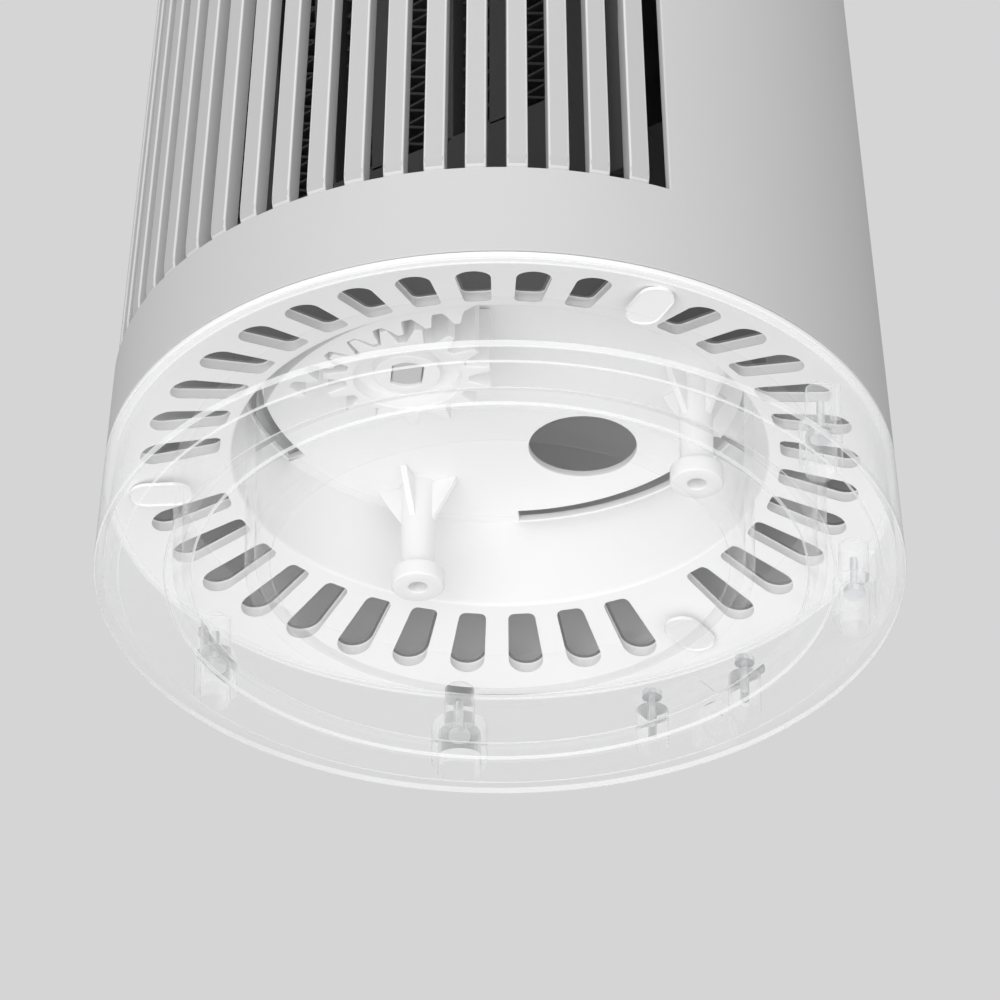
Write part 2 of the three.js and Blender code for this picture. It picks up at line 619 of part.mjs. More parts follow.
const MOTOR = { radius: 25, height: 17, shift: 13 };
const MOTOR_Z = PLATE_TOP + GAP;
const motorY = pinionY + MOTOR.shift;
const earX = MOTOR.radius + 6;
function swingMotor() {
  const can = cylinder(MOTOR.radius, 0, 0, MOTOR_Z, MOTOR_Z + MOTOR.height, 28);
  const ears = [-1, 1].map((side) => {
    const ear = box(side > 0 ? 20 : -earX - 4, side > 0 ? earX + 4 : -20, -5, 5, MOTOR_Z, MOTOR_Z + 2);
    return ear.subtract(cylinder(2, side * earX, 0, MOTOR_Z - 1, MOTOR_Z + 4, 12));
  });
  const socket = cylinder(SHAFT.radius + GAP, 0, -MOTOR.shift, MOTOR_Z - 1, MOTOR_Z + 8, 24);
  return move(union([can, ...ears]).subtract(socket), pinionX, motorY);
}
add("swing_motor", swingMotor(), steel);
const shaft = doubleD(SHAFT.radius, SHAFT.flat, GEAR.bottom + 1.5, MOTOR_Z + 7.5);
add("swing_shaft", move(shaft, pinionX, pinionY), plateWhite);
[-1, 1].forEach((side, i) => {
  const screw = screwUp(4.4, 1.4, 3).rotate([180, 0, 0]);
  add(`swing_motor_screw_${i + 1}`, move(screw, pinionX + side * earX, motorY, MOTOR_Z + 4.2), steel);
});

// ---- Top ----

const PANEL_Z = HEIGHT - 2;
const buttonX = (i) => (i - 1) * BUTTON.spacing;
const topRadius = radiusAt(CAP_Z + GAP);

// The cap closes the shell, with a shallow seat for the control disc and a hole under each button.
function topCap() {
  const bottom = CAP_Z + GAP;
  const cap = turned([
    [0, PANEL_Z - 4],
    [topRadius - 6, PANEL_Z - 4],
    [topRadius - 6, CAP_Z - 6],
    [topRadius - SHELL - 0.6, CAP_Z - 6],
    [topRadius - SHELL - 0.6, bottom],
    [topRadius, bottom],
    [topRadius - 0.8, HEIGHT - 3],
    [topRadius - 2, HEIGHT - 0.8],
    [topRadius - 4.5, HEIGHT],
    [PANEL_RADIUS + 1, HEIGHT],
    [PANEL_RADIUS + 0.4, HEIGHT - 0.4],
    [PANEL_RADIUS + 0.4, PANEL_Z - 0.5],
    [0, PANEL_Z - 0.5],
  ]);
  return cut(cap, [0, 1, 2].map((i) => cylinder(5.4, buttonX(i), BUTTON.y, 400, 430, 20)));
}
add("top_cap", topCap(), shellGrey);

const LENS = { halfWidth: 14, y: -16, halfDepth: 6 };
function controlDisc() {
  const disc = cylinder(PANEL_RADIUS, 0, 0, PANEL_Z - 0.2, HEIGHT - 0.6, ROUND);
  const holes = [0, 1, 2].map((i) => cylinder(BUTTON.radius + 0.3, buttonX(i), BUTTON.y, 400, 430, 20));
  const { halfWidth, halfDepth, y } = LENS;
  return cut(disc, [...holes, box(-halfWidth, halfWidth, y - halfDepth, y + halfDepth, 400, 430)]);
}
add("control_disc", controlDisc(), gloss);
const lensHalf = LENS.halfWidth - GAP;
const lensDepth = LENS.halfDepth - GAP;
const lensTop = HEIGHT - 0.6;
add("display_lens", box(-lensHalf, lensHalf, LENS.y - lensDepth, LENS.y + lensDepth, PANEL_Z - 0.2, lensTop), gloss);

// A button: a round cap above the panel on a stem that reaches the switch on the board.
const BOARD_Z = 404;
for (let i = 0; i < 3; i++) {
  const head = PANEL_Z - 0.5 + GAP + BUTTON.travel;
  const button = turned([[0, BOARD_Z + 3.6], [4.6, BOARD_Z + 3.6], [4.6, head], [BUTTON.radius, head],
    [BUTTON.radius, HEIGHT + 0.2], [BUTTON.radius - 0.8, HEIGHT + 0.8], [0, HEIGHT + 0.4]], 20);
  add(`button_${i + 1}`, move(button, buttonX(i), BUTTON.y), shellGrey);
}

// The board, with a switch under each button.
function controlBoard() {
  const plate = box(-44, 44, -34, 30, BOARD_Z - 1.6, BOARD_Z);
  const switches = [0, 1, 2].map((i) =>
    box(buttonX(i) - 3, buttonX(i) + 3, BUTTON.y - 3, BUTTON.y + 3, BOARD_Z - 0.5, BOARD_Z + 2));
  const posts = [-36, 36].map((x) => cylinder(3, x, -20, BOARD_Z - 0.5, PANEL_Z - 4 - GAP, 14));
  return union([plate, ...switches, ...posts]);
}
add("control_board", controlBoard(), board);

export default group;
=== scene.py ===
"""Looks for a tapered tower air purifier that turns on a clear swing base.

Every piece below is worked out in millimetres round the tower's axis, +Z up and the louvre towards -Y,
and is scaled to metres when its mesh is made. Angles are degrees from +X.
"""

import json
import math

import bmesh
import bpy
import numpy as np
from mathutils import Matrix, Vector
from mathutils.geometry import tessellate_polygon


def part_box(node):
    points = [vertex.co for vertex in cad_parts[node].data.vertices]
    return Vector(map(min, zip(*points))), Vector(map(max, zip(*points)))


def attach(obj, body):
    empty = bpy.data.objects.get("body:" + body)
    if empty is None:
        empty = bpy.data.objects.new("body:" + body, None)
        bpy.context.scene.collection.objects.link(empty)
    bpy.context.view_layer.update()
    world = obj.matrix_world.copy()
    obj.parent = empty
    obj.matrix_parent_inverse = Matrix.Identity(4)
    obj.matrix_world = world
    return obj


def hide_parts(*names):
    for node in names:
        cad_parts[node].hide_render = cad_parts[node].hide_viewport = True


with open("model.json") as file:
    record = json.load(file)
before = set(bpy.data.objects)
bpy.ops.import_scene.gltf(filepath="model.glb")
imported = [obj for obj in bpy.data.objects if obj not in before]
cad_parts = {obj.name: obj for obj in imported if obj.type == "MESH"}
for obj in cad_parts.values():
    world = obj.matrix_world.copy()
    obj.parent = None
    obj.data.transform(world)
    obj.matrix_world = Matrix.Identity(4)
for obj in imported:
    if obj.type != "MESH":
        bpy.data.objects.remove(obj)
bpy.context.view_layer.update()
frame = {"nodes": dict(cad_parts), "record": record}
MM = 0.001


def span(node):
    """Lowest and highest corner of a CAD node, in millimetres."""
    low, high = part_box(node)
    return np.array(low) / MM, np.array(high) / MM


# ---- Sizes taken from the frame ----

plate_low, plate_high = span("turntable_plate")
shell_low, shell_high = span("tower_shell")
cap_low, cap_high = span("top_cap")
base_low, _ = span("base_floor")
hub_low, hub_high = span("base_hub")
pinion_low, pinion_high = span("drive_pinion")
frame_low, frame_high = span("outlet_frame")

GAP = 0.3
RIM_RADIUS = plate_high[0]
RIM_Z = plate_low[2]
PLATE_TOP = plate_high[2]
SHELL = 2.5
CAP_JOINT = shell_high[2] + GAP
TAPER = (shell_high[0] - cap_high[0]) / (CAP_JOINT - shell_low[2])

# ---- Sizes that the part's source also holds ----

WINDOW = {"from": 210, "to": 330, "bottom": 59, "top": 350}
SLATS = 19
SLAT_PITCH = 6.16
SLAT_WIDTH = 3.1
SLAT_DEPTH = 3.6
RECESS_Z = 61.8
RECESS_MOUTH = 67.8
RECESS_TOP = 65.6
MOUTH_Z = 37.8
FACE_THICK = 3.6
BLANKS = (90, 210, 330)
POSTS = ((35.9, 49.7), (147.7, 53))  # angle, distance
CABLE_HOLE = (0, 37.4, 13.8)
PINION_ANGLE = 264.2
PINION_AT = (pinion_low + pinion_high) / 2
BAY = {"half": 50, "bottom": 120, "top": 330}
WELLS = ((49, 5.5), (131, 7.2), (4, 5.5), (176, 5.5))
WELL_EDGE = 98.1
FOOT = base_low[2]
FLOOR_TOP = 4.0


def radius_at(z):
    """Outer radius of the tower's cone at a height."""
    return RIM_RADIUS - TAPER * (np.asarray(z, float) - RIM_Z)


def polar(radius, degrees):
    """Plan point at a radius and an angle."""
    a = np.radians(degrees)
    return np.stack(np.broadcast_arrays(radius * np.cos(a), radius * np.sin(a)), -1)


# ---- Outlines ----


def arc(x, y, radius, start, end, steps):
    """Points along an arc about (x, y)."""
    return np.array([x, y]) + polar(radius, np.linspace(start, end, steps + 1))


def circle(x, y, radius, steps=48):
    """Anticlockwise circle about (x, y) that doesn't repeat its first point."""
    return arc(x, y, radius, 0, 360, steps)[:-1]


def rounded(points, radius, steps=4, closed=True):
    """Outline whose corners become quadratic curves that start and end one radius away from the corner."""
    points = np.asarray(points, float)
    radii = np.broadcast_to(np.asarray(radius, float), len(points))
    out = []
    t = np.linspace(0, 1, steps + 1)[:, None]
    for i, corner in enumerate(points):
        is_end = not closed and i in (0, len(points) - 1)
        if is_end or radii[i] <= 0:
            out.append(corner[None])
            continue
        before = points[i - 1] - corner
        after = points[(i + 1) % len(points)] - corner
        reach_before = min(radii[i], np.linalg.norm(before) * 0.49)
        reach_after = min(radii[i], np.linalg.norm(after) * 0.49)
        start = corner + before / np.linalg.norm(before) * reach_before
        end = corner + after / np.linalg.norm(after) * reach_after
        out.append((1 - t) ** 2 * start + 2 * t * (1 - t) * corner + t ** 2 * end)
    return np.concatenate(out)


def offset(loop, distance):
    """Loop moved outwards along the mean of each point's two edge normals, for an anticlockwise loop."""
    edge = np.roll(loop, -1, 0) - loop
    normal = np.stack([edge[:, 1], -edge[:, 0]], -1)
    normal /= np.maximum(np.linalg.norm(normal, axis=1, keepdims=True), 1e-9)
    mean = normal + np.roll(normal, 1, 0)
    mean /= np.maximum(np.linalg.norm(mean, axis=1, keepdims=True), 1e-9)
    cosine = np.maximum((mean * normal).sum(1, keepdims=True), 0.5)
    return loop + mean * distance / cosine


def anticlockwise(loop):
    """The loop, reversed if its signed area is negative."""
    x, y = loop[:, 0], loop[:, 1]
    area = (x * np.roll(y, -1) - y * np.roll(x, -1)).sum()
    return loop if area > 0 else loop[::-1]


def oblong(left, low, right, high):
    """Corners of a rectangle, anticlockwise from its lower left."""
    return [(left, low), (right, low), (right, high), (left, high)]


def turned(points, degrees):
    """Points turned about the axis: their plan coordinates times a rotation matrix, their heights kept."""
    a = math.radians(degrees)
    plan = points[..., :2] @ np.array([[math.cos(a), math.sin(a)], [-math.sin(a), math.cos(a)]])
    return np.concatenate([plan, points[..., 2:]], -1)


def double_d(radius, flat, degrees, steps=10):
    """Round outline with two flats, turned by an angle."""
    half = math.degrees(math.asin(flat / radius))
    right = arc(0, 0, radius, -half, half, steps)
    left = arc(0, 0, radius, 180 - half, 180 + half, steps)
    return turned(np.concatenate([right, left]), degrees)


def ribbon(line, thickness):
    """Outline of a strip of even thickness: its middle line moved to each side along the line's normals."""
    direction = np.gradient(line, axis=0)
    direction /= np.linalg.norm(direction, axis=1, keepdims=True)
    normal = np.column_stack([-direction[:, 1], direction[:, 0]]) * thickness / 2
    return np.concatenate([line - normal, (line + normal)[::-1]])


# ---- Surfaces ----


class Skin:
    """Patches of points and faces in millimetres that together make one piece's mesh."""

    def __init__(self):
        self.points = []
        self.faces = []
        self.count = 0

    def take(self, points):
        """Adds points, and returns the place of the first of them."""
        points = np.asarray(points, float).reshape(-1, 3)
        self.points.append(points)
        self.count += len(points)
        return self.count - len(points)

    def grid(self, points, wrap_u=False, wrap_v=False, keep=None):
        """Quads between neighbouring points of a (u, v) grid. keep is a mask of the quads to make."""
        rows, columns = points.shape[:2]
        ids = self.take(points) + np.arange(rows * columns).reshape(rows, columns)
        if wrap_u:
            ids = np.vstack([ids, ids[:1]])
        if wrap_v:
            ids = np.hstack([ids, ids[:, :1]])
        quads = np.stack([ids[:-1, :-1], ids[1:, :-1], ids[1:, 1:], ids[:-1, 1:]], -1)
        quads = quads[keep] if keep is not None else quads.reshape(-1, 4)
        self.faces += quads.tolist()

    def flat(self, loops, place):
        """Flat face inside the first loop and outside the others. place turns plan points into 3-D ones."""
        triangles = tessellate_polygon([[Vector((x, y, 0)) for x, y in loop] for loop in loops])
        first = self.take(place(np.concatenate(loops)))
        self.faces += [[first + i for i in triangle] for triangle in triangles]

    def lathe(self, profile, steps=180, about=(0, 0), start=0, turn=360):
        """(radius, z) profile carried round a vertical axis, through a full turn or a part of one."""
        profile = np.asarray(profile, float)
        full = turn == 360
        angles = np.linspace(start, start + turn, steps + 1)
        angles = angles[:-1] if full else angles
        xy = polar(profile[None, :, 0], angles[:, None]) + np.array(about)
        z = np.broadcast_to(profile[None, :, 1], xy.shape[:2])
        self.grid(np.concatenate([xy, z[..., None]], -1), wrap_u=full)

    def arc_bar(self, section, start, end, steps):
        """Closed (radius, z) section carried along an arc about the axis, with flat ends."""
        section = np.asarray(section, float)
        angles = np.linspace(start, end, steps + 1)
        xy = polar(section[None, :, 0], angles[:, None])
        z = np.broadcast_to(section[None, :, 1], xy.shape[:2])
        self.grid(np.concatenate([xy, z[..., None]], -1), wrap_v=True)
        for degrees in (start, end):
            self.flat([section], lambda p, d=degrees: np.column_stack([polar(p[:, 0], d), p[:, 1]]))

    def prism(self, outer, holes, low, high, bevel=0.3, steps=2, place=None):
        """Outline with holes carried from one height to another, its edges rounded by quarter circles.
        place turns plan points and a height into 3-D points."""
        place = place or upright
        t = np.linspace(0, math.pi / 2, steps + 1)
        inset = bevel * (1 - np.sin(t))
        rise = bevel * (1 - np.cos(t))
        heights = np.concatenate([low + rise, (high - rise)[::-1]])
        insets = np.concatenate([inset, inset[::-1]])
        loops = [(anticlockwise(np.asarray(outer, float)), -1)]
        loops += [(anticlockwise(np.asarray(hole, float)), 1) for hole in holes]
        for loop, side in loops:
            rings = [place(offset(loop, side * d) if d else loop, z) for d, z in zip(insets, heights)]
            self.grid(np.stack(rings), wrap_v=True)
        ends = [offset(loop, side * bevel) if bevel else loop for loop, side in loops]
        for z in (low, high):
            self.flat(ends, lambda p, z=z: place(p, z))


def upright(points, z):
    """Plan points at a height."""
    return np.column_stack([points, np.full(len(points), float(z))])


def facing_front(points, depth):
    """(x, z) points at a depth along Y."""
    return np.column_stack([points[:, 0], np.full(len(points), float(depth)), points[:, 1]])


def let_light_through(obj):
    """Clear pieces are drawn, but neither shade nor dim what lies behind them."""
    obj.visible_shadow = False
    obj.visible_diffuse = False


def piece(name, skin, material, body, slot, nodes=(), wall=0.0, bevel=0.0, inside=None):
    """Mesh object made from a skin, welded, faced outwards and smoothed, in place of the CAD nodes it names.
    wall gives a single sheet its thickness inwards, bevel rounds the sheet's rims,
    and inside is the material of the sheet's inner face."""
    mesh = bpy.data.meshes.new(name)
    mesh.from_pydata(np.concatenate(skin.points) * MM, [], skin.faces)
    work = bmesh.new()
    work.from_mesh(mesh)
    bmesh.ops.remove_doubles(work, verts=work.verts, dist=2e-6)
    loose = [v for v in work.verts if not v.link_faces]
    bmesh.ops.delete(work, geom=loose, context="VERTS")
    bmesh.ops.recalc_face_normals(work, faces=work.faces)
    work.to_mesh(mesh)
    work.free()
    mesh.shade_smooth()
    mesh.set_sharp_from_angle(angle=math.radians(50))
    mesh.materials.append(material)
    obj = bpy.data.objects.new(name, mesh)
    bpy.context.collection.objects.link(obj)
    if wall:
        thick = obj.modifiers.new("wall", "SOLIDIFY")
        thick.thickness = wall * MM
        thick.offset = -1
        thick.use_even_offset = True
        if inside:
            mesh.materials.append(inside)
            thick.material_offset = 1
    if bevel:
        edge = obj.modifiers.new("edges", "BEVEL")
        edge.width = bevel * MM
        edge.segments = 3
        edge.limit_method = "ANGLE"
        edge.angle_limit = math.radians(50)
    even = obj.modifiers.new("shading", "WEIGHTED_NORMAL")
    even.keep_sharp = not bevel
    if slot.startswith("clear"):
        let_light_through(obj)
    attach(obj, body)
    if nodes:
        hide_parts(*nodes)
    return obj


def paint_faces(obj, material, chosen):
    """Another material on the faces chosen by their middles, in millimetres, and their normals."""
    mesh = obj.data
    mesh.materials.append(material)
    middle = np.empty(len(mesh.polygons) * 3)
    normal = np.empty(len(mesh.polygons) * 3)
    mesh.polygons.foreach_get("center", middle)
    mesh.polygons.foreach_get("normal", normal)
    index = np.empty(len(mesh.polygons), np.int32)
    mesh.polygons.foreach_get("material_index", index)
    picked = chosen(middle.reshape(-1, 3) / MM, normal.reshape(-1, 3))
    index[picked] = len(mesh.materials) - 1
    mesh.polygons.foreach_set("material_index", index)


# ---- Materials ----


def group(name, inputs, outputs):
    """Empty shader node group with named sockets, and its input and output nodes."""
    tree = bpy.data.node_groups.new(name, "ShaderNodeTree")
    for label, kind, value in inputs:
        socket = tree.interface.new_socket(label, in_out="INPUT", socket_type=kind)
        socket.default_value = value
    for label, kind in outputs:
        tree.interface.new_socket(label, in_out="OUTPUT", socket_type=kind)
    return tree, tree.nodes.new("NodeGroupInput"), tree.nodes.new("NodeGroupOutput")


def maths(nodes, operation, fixed):
    """Math node of one operation. fixed holds the values of its unlinked inputs, by their place."""
    node = nodes.new("ShaderNodeMath")
    node.operation = operation
    for place, value in fixed.items():
        node.inputs[place].default_value = value
    return node


def moulding_group():
    """Moulded plastic: a fine spark-eroded grain as bump, and a slow noise that drifts its tone and gloss."""
    tree, given, out = group(
        "moulded_plastic",
        [("Color", "NodeSocketColor", (0.6, 0.6, 0.6, 1)), ("Roughness", "NodeSocketFloat", 0.45),
         ("Grain per metre", "NodeSocketFloat", 2600), ("Grain depth", "NodeSocketFloat", 0.15),
         ("Tone drift", "NodeSocketFloat", 0.02)],
        [("Color", "NodeSocketColor"), ("Roughness", "NodeSocketFloat"), ("Normal", "NodeSocketVector")],
    )
    nodes, link = tree.nodes, tree.links.new
    where = nodes.new("ShaderNodeTexCoord")
    grain = nodes.new("ShaderNodeTexNoise")
    grain.inputs["Detail"].default_value = 2
    link(where.outputs["Object"], grain.inputs["Vector"])
    link(given.outputs["Grain per metre"], grain.inputs["Scale"])
    bump = nodes.new("ShaderNodeBump")
    bump.inputs["Distance"].default_value = 0.00004
    link(grain.outputs["Fac"], bump.inputs["Height"])
    link(given.outputs["Grain depth"], bump.inputs["Strength"])
    drift = nodes.new("ShaderNodeTexNoise")
    drift.inputs["Scale"].default_value = 14
    drift.inputs["Detail"].default_value = 3
    link(where.outputs["Object"], drift.inputs["Vector"])
    centred = maths(nodes, "SUBTRACT", {1: 0.5})
    link(drift.outputs["Fac"], centred.inputs[0])
    amount = maths(nodes, "MULTIPLY_ADD", {2: 1})
    link(centred.outputs[0], amount.inputs[0])
    link(given.outputs["Tone drift"], amount.inputs[1])
    tone = nodes.new("ShaderNodeVectorMath")
    tone.operation = "SCALE"
    link(given.outputs["Color"], tone.inputs[0])
    link(amount.outputs[0], tone.inputs["Scale"])
    gloss = maths(nodes, "MULTIPLY_ADD", {1: 0.12})
    link(centred.outputs[0], gloss.inputs[0])
    link(given.outputs["Roughness"], gloss.inputs[2])
    link(tone.outputs[0], out.inputs["Color"])
    link(gloss.outputs[0], out.inputs["Roughness"])
    link(bump.outputs["Normal"], out.inputs["Normal"])
    return tree


def brushed_group():
    """Rolled or turned metal: a noise stretched along X makes fine streaks in tone, gloss and bump."""
    tree, given, out = group(
        "rolled_metal",
        [("Color", "NodeSocketColor", (0.6, 0.6, 0.6, 1)), ("Roughness", "NodeSocketFloat", 0.35)],
        [("Color", "NodeSocketColor"), ("Roughness", "NodeSocketFloat"), ("Normal", "NodeSocketVector")],
    )
    nodes, link = tree.nodes, tree.links.new
    where = nodes.new("ShaderNodeTexCoord")
    stretch = nodes.new("ShaderNodeMapping")
    stretch.inputs["Scale"].default_value = (60, 1800, 1800)
    link(where.outputs["Object"], stretch.inputs["Vector"])
    streak = nodes.new("ShaderNodeTexNoise")
    streak.inputs["Scale"].default_value = 1
    streak.inputs["Detail"].default_value = 3
    link(stretch.outputs["Vector"], streak.inputs["Vector"])
    tone = nodes.new("ShaderNodeMapRange")
    tone.inputs["To Min"].default_value = 0.86
    tone.inputs["To Max"].default_value = 1.1
    link(streak.outputs["Fac"], tone.inputs["Value"])
    shade = nodes.new("ShaderNodeVectorMath")
    shade.operation = "SCALE"
    link(given.outputs["Color"], shade.inputs[0])
    link(tone.outputs["Result"], shade.inputs["Scale"])
    gloss = maths(nodes, "MULTIPLY_ADD", {1: 0.15})
    link(streak.outputs["Fac"], gloss.inputs[0])
    link(given.outputs["Roughness"], gloss.inputs[2])
    bump = nodes.new("ShaderNodeBump")
    bump.inputs["Strength"].default_value = 0.2
    bump.inputs["Distance"].default_value = 0.00003
    link(streak.outputs["Fac"], bump.inputs["Height"])
    link(shade.outputs[0], out.inputs["Color"])
    link(gloss.outputs[0], out.inputs["Roughness"])
    link(bump.outputs["Normal"], out.inputs["Normal"])
    return tree


MOULDING = moulding_group()
ROLLED = brushed_group()


def finish_material(name, tree, settings, shader):
    """Material whose Principled shader takes its colour, roughness and normal from a finish group.
    settings fill the group's own inputs, and shader the values that are the same all over."""
    made = bpy.data.materials.new(name)
    made.use_nodes = True
    nodes, link = made.node_tree.nodes, made.node_tree.links.new
    principled = nodes["Principled BSDF"]
    finish = nodes.new("ShaderNodeGroup")
    finish.node_tree = tree
    for label, value in settings.items():
        finish.inputs[label].default_value = value
    for label, value in shader.items():
        principled.inputs[label].default_value = value
    link(finish.outputs["Color"], principled.inputs["Base Color"])
    link(finish.outputs["Roughness"], principled.inputs["Roughness"])
    link(finish.outputs["Normal"], principled.inputs["Normal"])
    return made


def grey(value):
    """Neutral colour of one level."""
    return (value, value, value, 1)


def moulded(name, color, roughness, depth=0.15, drift=0.02, **shader):
    """Moulded plastic, or paper and board of the same kind of grain."""
    settings = {"Color": color, "Roughness": roughness, "Grain depth": depth, "Tone drift": drift}
    return finish_material(name, MOULDING, settings, shader)


def metal(name, color, roughness):
    """Rolled or turned metal."""
    return finish_material(name, ROLLED, {"Color": color, "Roughness": roughness}, {"Metallic": 0.8})


def clear(name, face_alpha, edge_alpha, power, roughness=0.06):
    """Clear moulding as a thin bright haze: its cover grows with a power of how far the surface turns away,
    so flat faces nearly vanish and rims, fillets and silhouettes draw as light lines."""
    made = moulded(name, (0.96, 0.965, 0.97, 1), roughness, depth=0.03, drift=0.0)
    nodes, link = made.node_tree.nodes, made.node_tree.links.new
    turned = nodes.new("ShaderNodeLayerWeight")
    turned.inputs["Blend"].default_value = 0.5
    sharp = maths(nodes, "POWER", {1: power})
    link(turned.outputs["Facing"], sharp.inputs[0])
    haze = nodes.new("ShaderNodeMapRange")
    haze.inputs["To Min"].default_value = face_alpha
    haze.inputs["To Max"].default_value = edge_alpha
    link(sharp.outputs[0], haze.inputs["Value"])
    link(haze.outputs["Result"], nodes["Principled BSDF"].inputs["Alpha"])
    return made


SHELL_GREY = moulded("shell_grey", grey(0.565), 0.42)
# Painted light: a lighter grey for the shell's inner face, the inside lit from below through the plate's
# slots.
SHELL_INSIDE_LIT = moulded("shell_inside_lit", grey(0.86), 0.5)
SLAT_GREY = moulded("slat_grey", grey(0.50), 0.40)
# Painted highlight: a lighter grey for the slats' rounded edges, where they catch the light.
SLAT_EDGE_HIGHLIGHT = moulded("slat_edge_highlight", grey(0.68), 0.34)
PLATE_WHITE = moulded("plate_white", grey(0.89), 0.42, depth=0.03, drift=0.01)
# Dark plastic of the outlet frame and rotor. It is also painted on the turntable plate's hidden upper faces
# as painted shade.
DARK = moulded("dark_plastic", grey(0.075), 0.5, depth=0.25)
FIN_DARK = moulded("fin_strip", grey(0.10), 0.38, depth=0.1, Metallic=0.6)
STEEL = metal("bright_steel", (0.90, 0.91, 0.92, 1), 0.45)
BRASS = metal("bush_bronze", (0.55, 0.40, 0.20, 1), 0.4)
BOARD = moulded("board_green", (0.02, 0.09, 0.045, 1), 0.35, depth=0.3, drift=0.2)
PAPER = moulded("filter_paper", (0.80, 0.79, 0.75, 1), 0.9, depth=0.6, drift=0.08)
PANEL = moulded("panel_black", grey(0.012), 0.08, depth=0.02, **{"Coat Weight": 1.0})
LENS = moulded("display_lens", (0.02, 0.022, 0.028, 1), 0.05, depth=0.0, **{"Coat Weight": 1.0})
SILICONE = clear("clear_silicone", 0.07, 0.5, 4, roughness=0.35)
CLEAR_WALL = clear("clear_wall", 0.04, 0.9, 4)
CLEAR_SHEET = clear("clear_sheet", 0.025, 1.0, 4.5)
# Painted highlight: a more opaque clear for the wells, clamp posts and screw posts, the bright white marks
# they show.
CLEAR_CUP_HIGHLIGHT = clear("clear_cup_highlight", 0.12, 0.95, 2.5)
CLEAR_INNER = clear("clear_inner", 0.015, 0.5, 5)
# Painted highlight: nearly opaque clear for the rim, the floor's edges and the wall's top edge, the bright
# lines along the clear base's edges.
CLEAR_LIP_HIGHLIGHT = clear("clear_lip_highlight", 0.5, 1.0, 2)
# Painted shade: mid grey for the swing shaft, darker than the white plastic slot it keeps, for the grey seen
# down the pinion's bore.
SHAFT_SHADE_GREY = moulded("shaft_shade_grey", grey(0.52), 0.35)

# ---- Turntable plate ----

FACE_IN = 69.0  # the slotted face is cells between these radii
FACE_OUT = 93.0
CELL = 10.0  # degrees of one cell
CELL_ENDS = 10  # steps along a cell's inner and outer side
CELL_SIDES = 14  # steps along its two straight sides
AROUND = int(360 / CELL) * CELL_ENDS
SLOT = {"start": 70, "end": 92, "inner": 4.4, "outer": 5.35, "corner": 2.6}
ARC_SLOTS = {"inner": 60.75, "outer": 65.25, "half_angle": 30}
POST = {"radius": 6.8, "stem": 4.3, "bore": 2.3, "foot": 4.9, "gusset": 10.6, "rise": 12}


def face_z(radius):
    """Height of the plate's slotted underside."""
    return RIM_Z + (98 - radius) / (98 - RECESS_MOUTH) * (MOUTH_Z - RIM_Z)


def resample(points, steps):
    """Points spread evenly by length along a line of points."""
    points = np.asarray(points)
    along = np.concatenate([[0], np.cumsum(np.linalg.norm(np.diff(points, axis=0), axis=1))])
    at = np.linspace(0, along[-1], steps + 1)
    return np.column_stack([np.interp(at, along, points[:, k]) for k in (0, 1)])


def slot_outline():
    """Slot along +X in four runs: inner end, upper side, outer end and lower side.
    The inner end is nearly square, and the outer one is a half circle."""
    s = SLOT
    c = s["corner"]
    upper = arc(s["start"] + c, s["inner"] - c, c, 135, 90, 6)
    corner = arc(s["start"] + c, s["inner"] - c, c, 180, 135, 6)
    inner = np.concatenate([(corner * [1, -1])[::-1], corner])
    tip = arc(s["end"] - s["outer"], 0, s["outer"], 60, -60, 24)
    side = np.concatenate([upper, arc(s["end"] - s["outer"], 0, s["outer"], 90, 60, 6)])
    mirrored = (side * [1, -1])[::-1]
    runs = [(inner, CELL_ENDS), (side, CELL_SIDES), (tip, CELL_ENDS), (mirrored, CELL_SIDES)]
    return np.concatenate([resample(run, steps)[:-1] for run, steps in runs])


def cell_border():
    """The cell's own edge, with as many points in each run as the slot's outline."""
    half = CELL / 2
    across = np.linspace(-half, half, CELL_ENDS + 1)
    along = np.linspace(FACE_IN, FACE_OUT, CELL_SIDES + 1)
    runs = [
        polar(FACE_IN, across),
        polar(along, half),
        polar(FACE_OUT, -across),
        polar(along[::-1], -half),
    ]
    return np.concatenate([run[:-1] for run in runs])


def on_face(points, lift):
    """Plan points placed on the slotted face, raised by lift."""
    return np.column_stack([points, face_z(np.linalg.norm(points, axis=1)) + lift])


def slotted_face(skin):
    """Each cell runs from its border in to the slot, over a rounded edge, up the slot's wall and back out
    on top. A blank cell runs in to its middle instead, below and above."""
    border, slot = cell_border(), slot_outline()
    middle = np.array([(FACE_IN + FACE_OUT) / 2, 0.0])
    lips = [(0.9, 0.0), (0.5, 0.04), (0.22, 0.18), (0.06, 0.42), (0, 0.8)]
    lower = [on_face(border + (offset(slot, 0.9) - border) * t, 0) for t in (0, 0.4, 0.75)]
    lower += [on_face(offset(slot, out), lift) for out, lift in lips]
    upper = [on_face(offset(slot, out), FACE_THICK - lift) for out, lift in lips[::-1]]
    upper += [on_face(border, FACE_THICK)]
    open_cell = np.stack(lower + upper)
    loops = [border + (middle - border) * t for t in (0, 0.3, 0.6, 0.85, 1)]
    blanks = [np.stack([on_face(loop, lift) for loop in loops]) for lift in (0, FACE_THICK)]
    for degrees in range(0, 360, int(CELL)):
        for sheet in blanks if degrees in BLANKS else [open_cell]:
            skin.grid(turned(sheet, degrees), wrap_v=True)


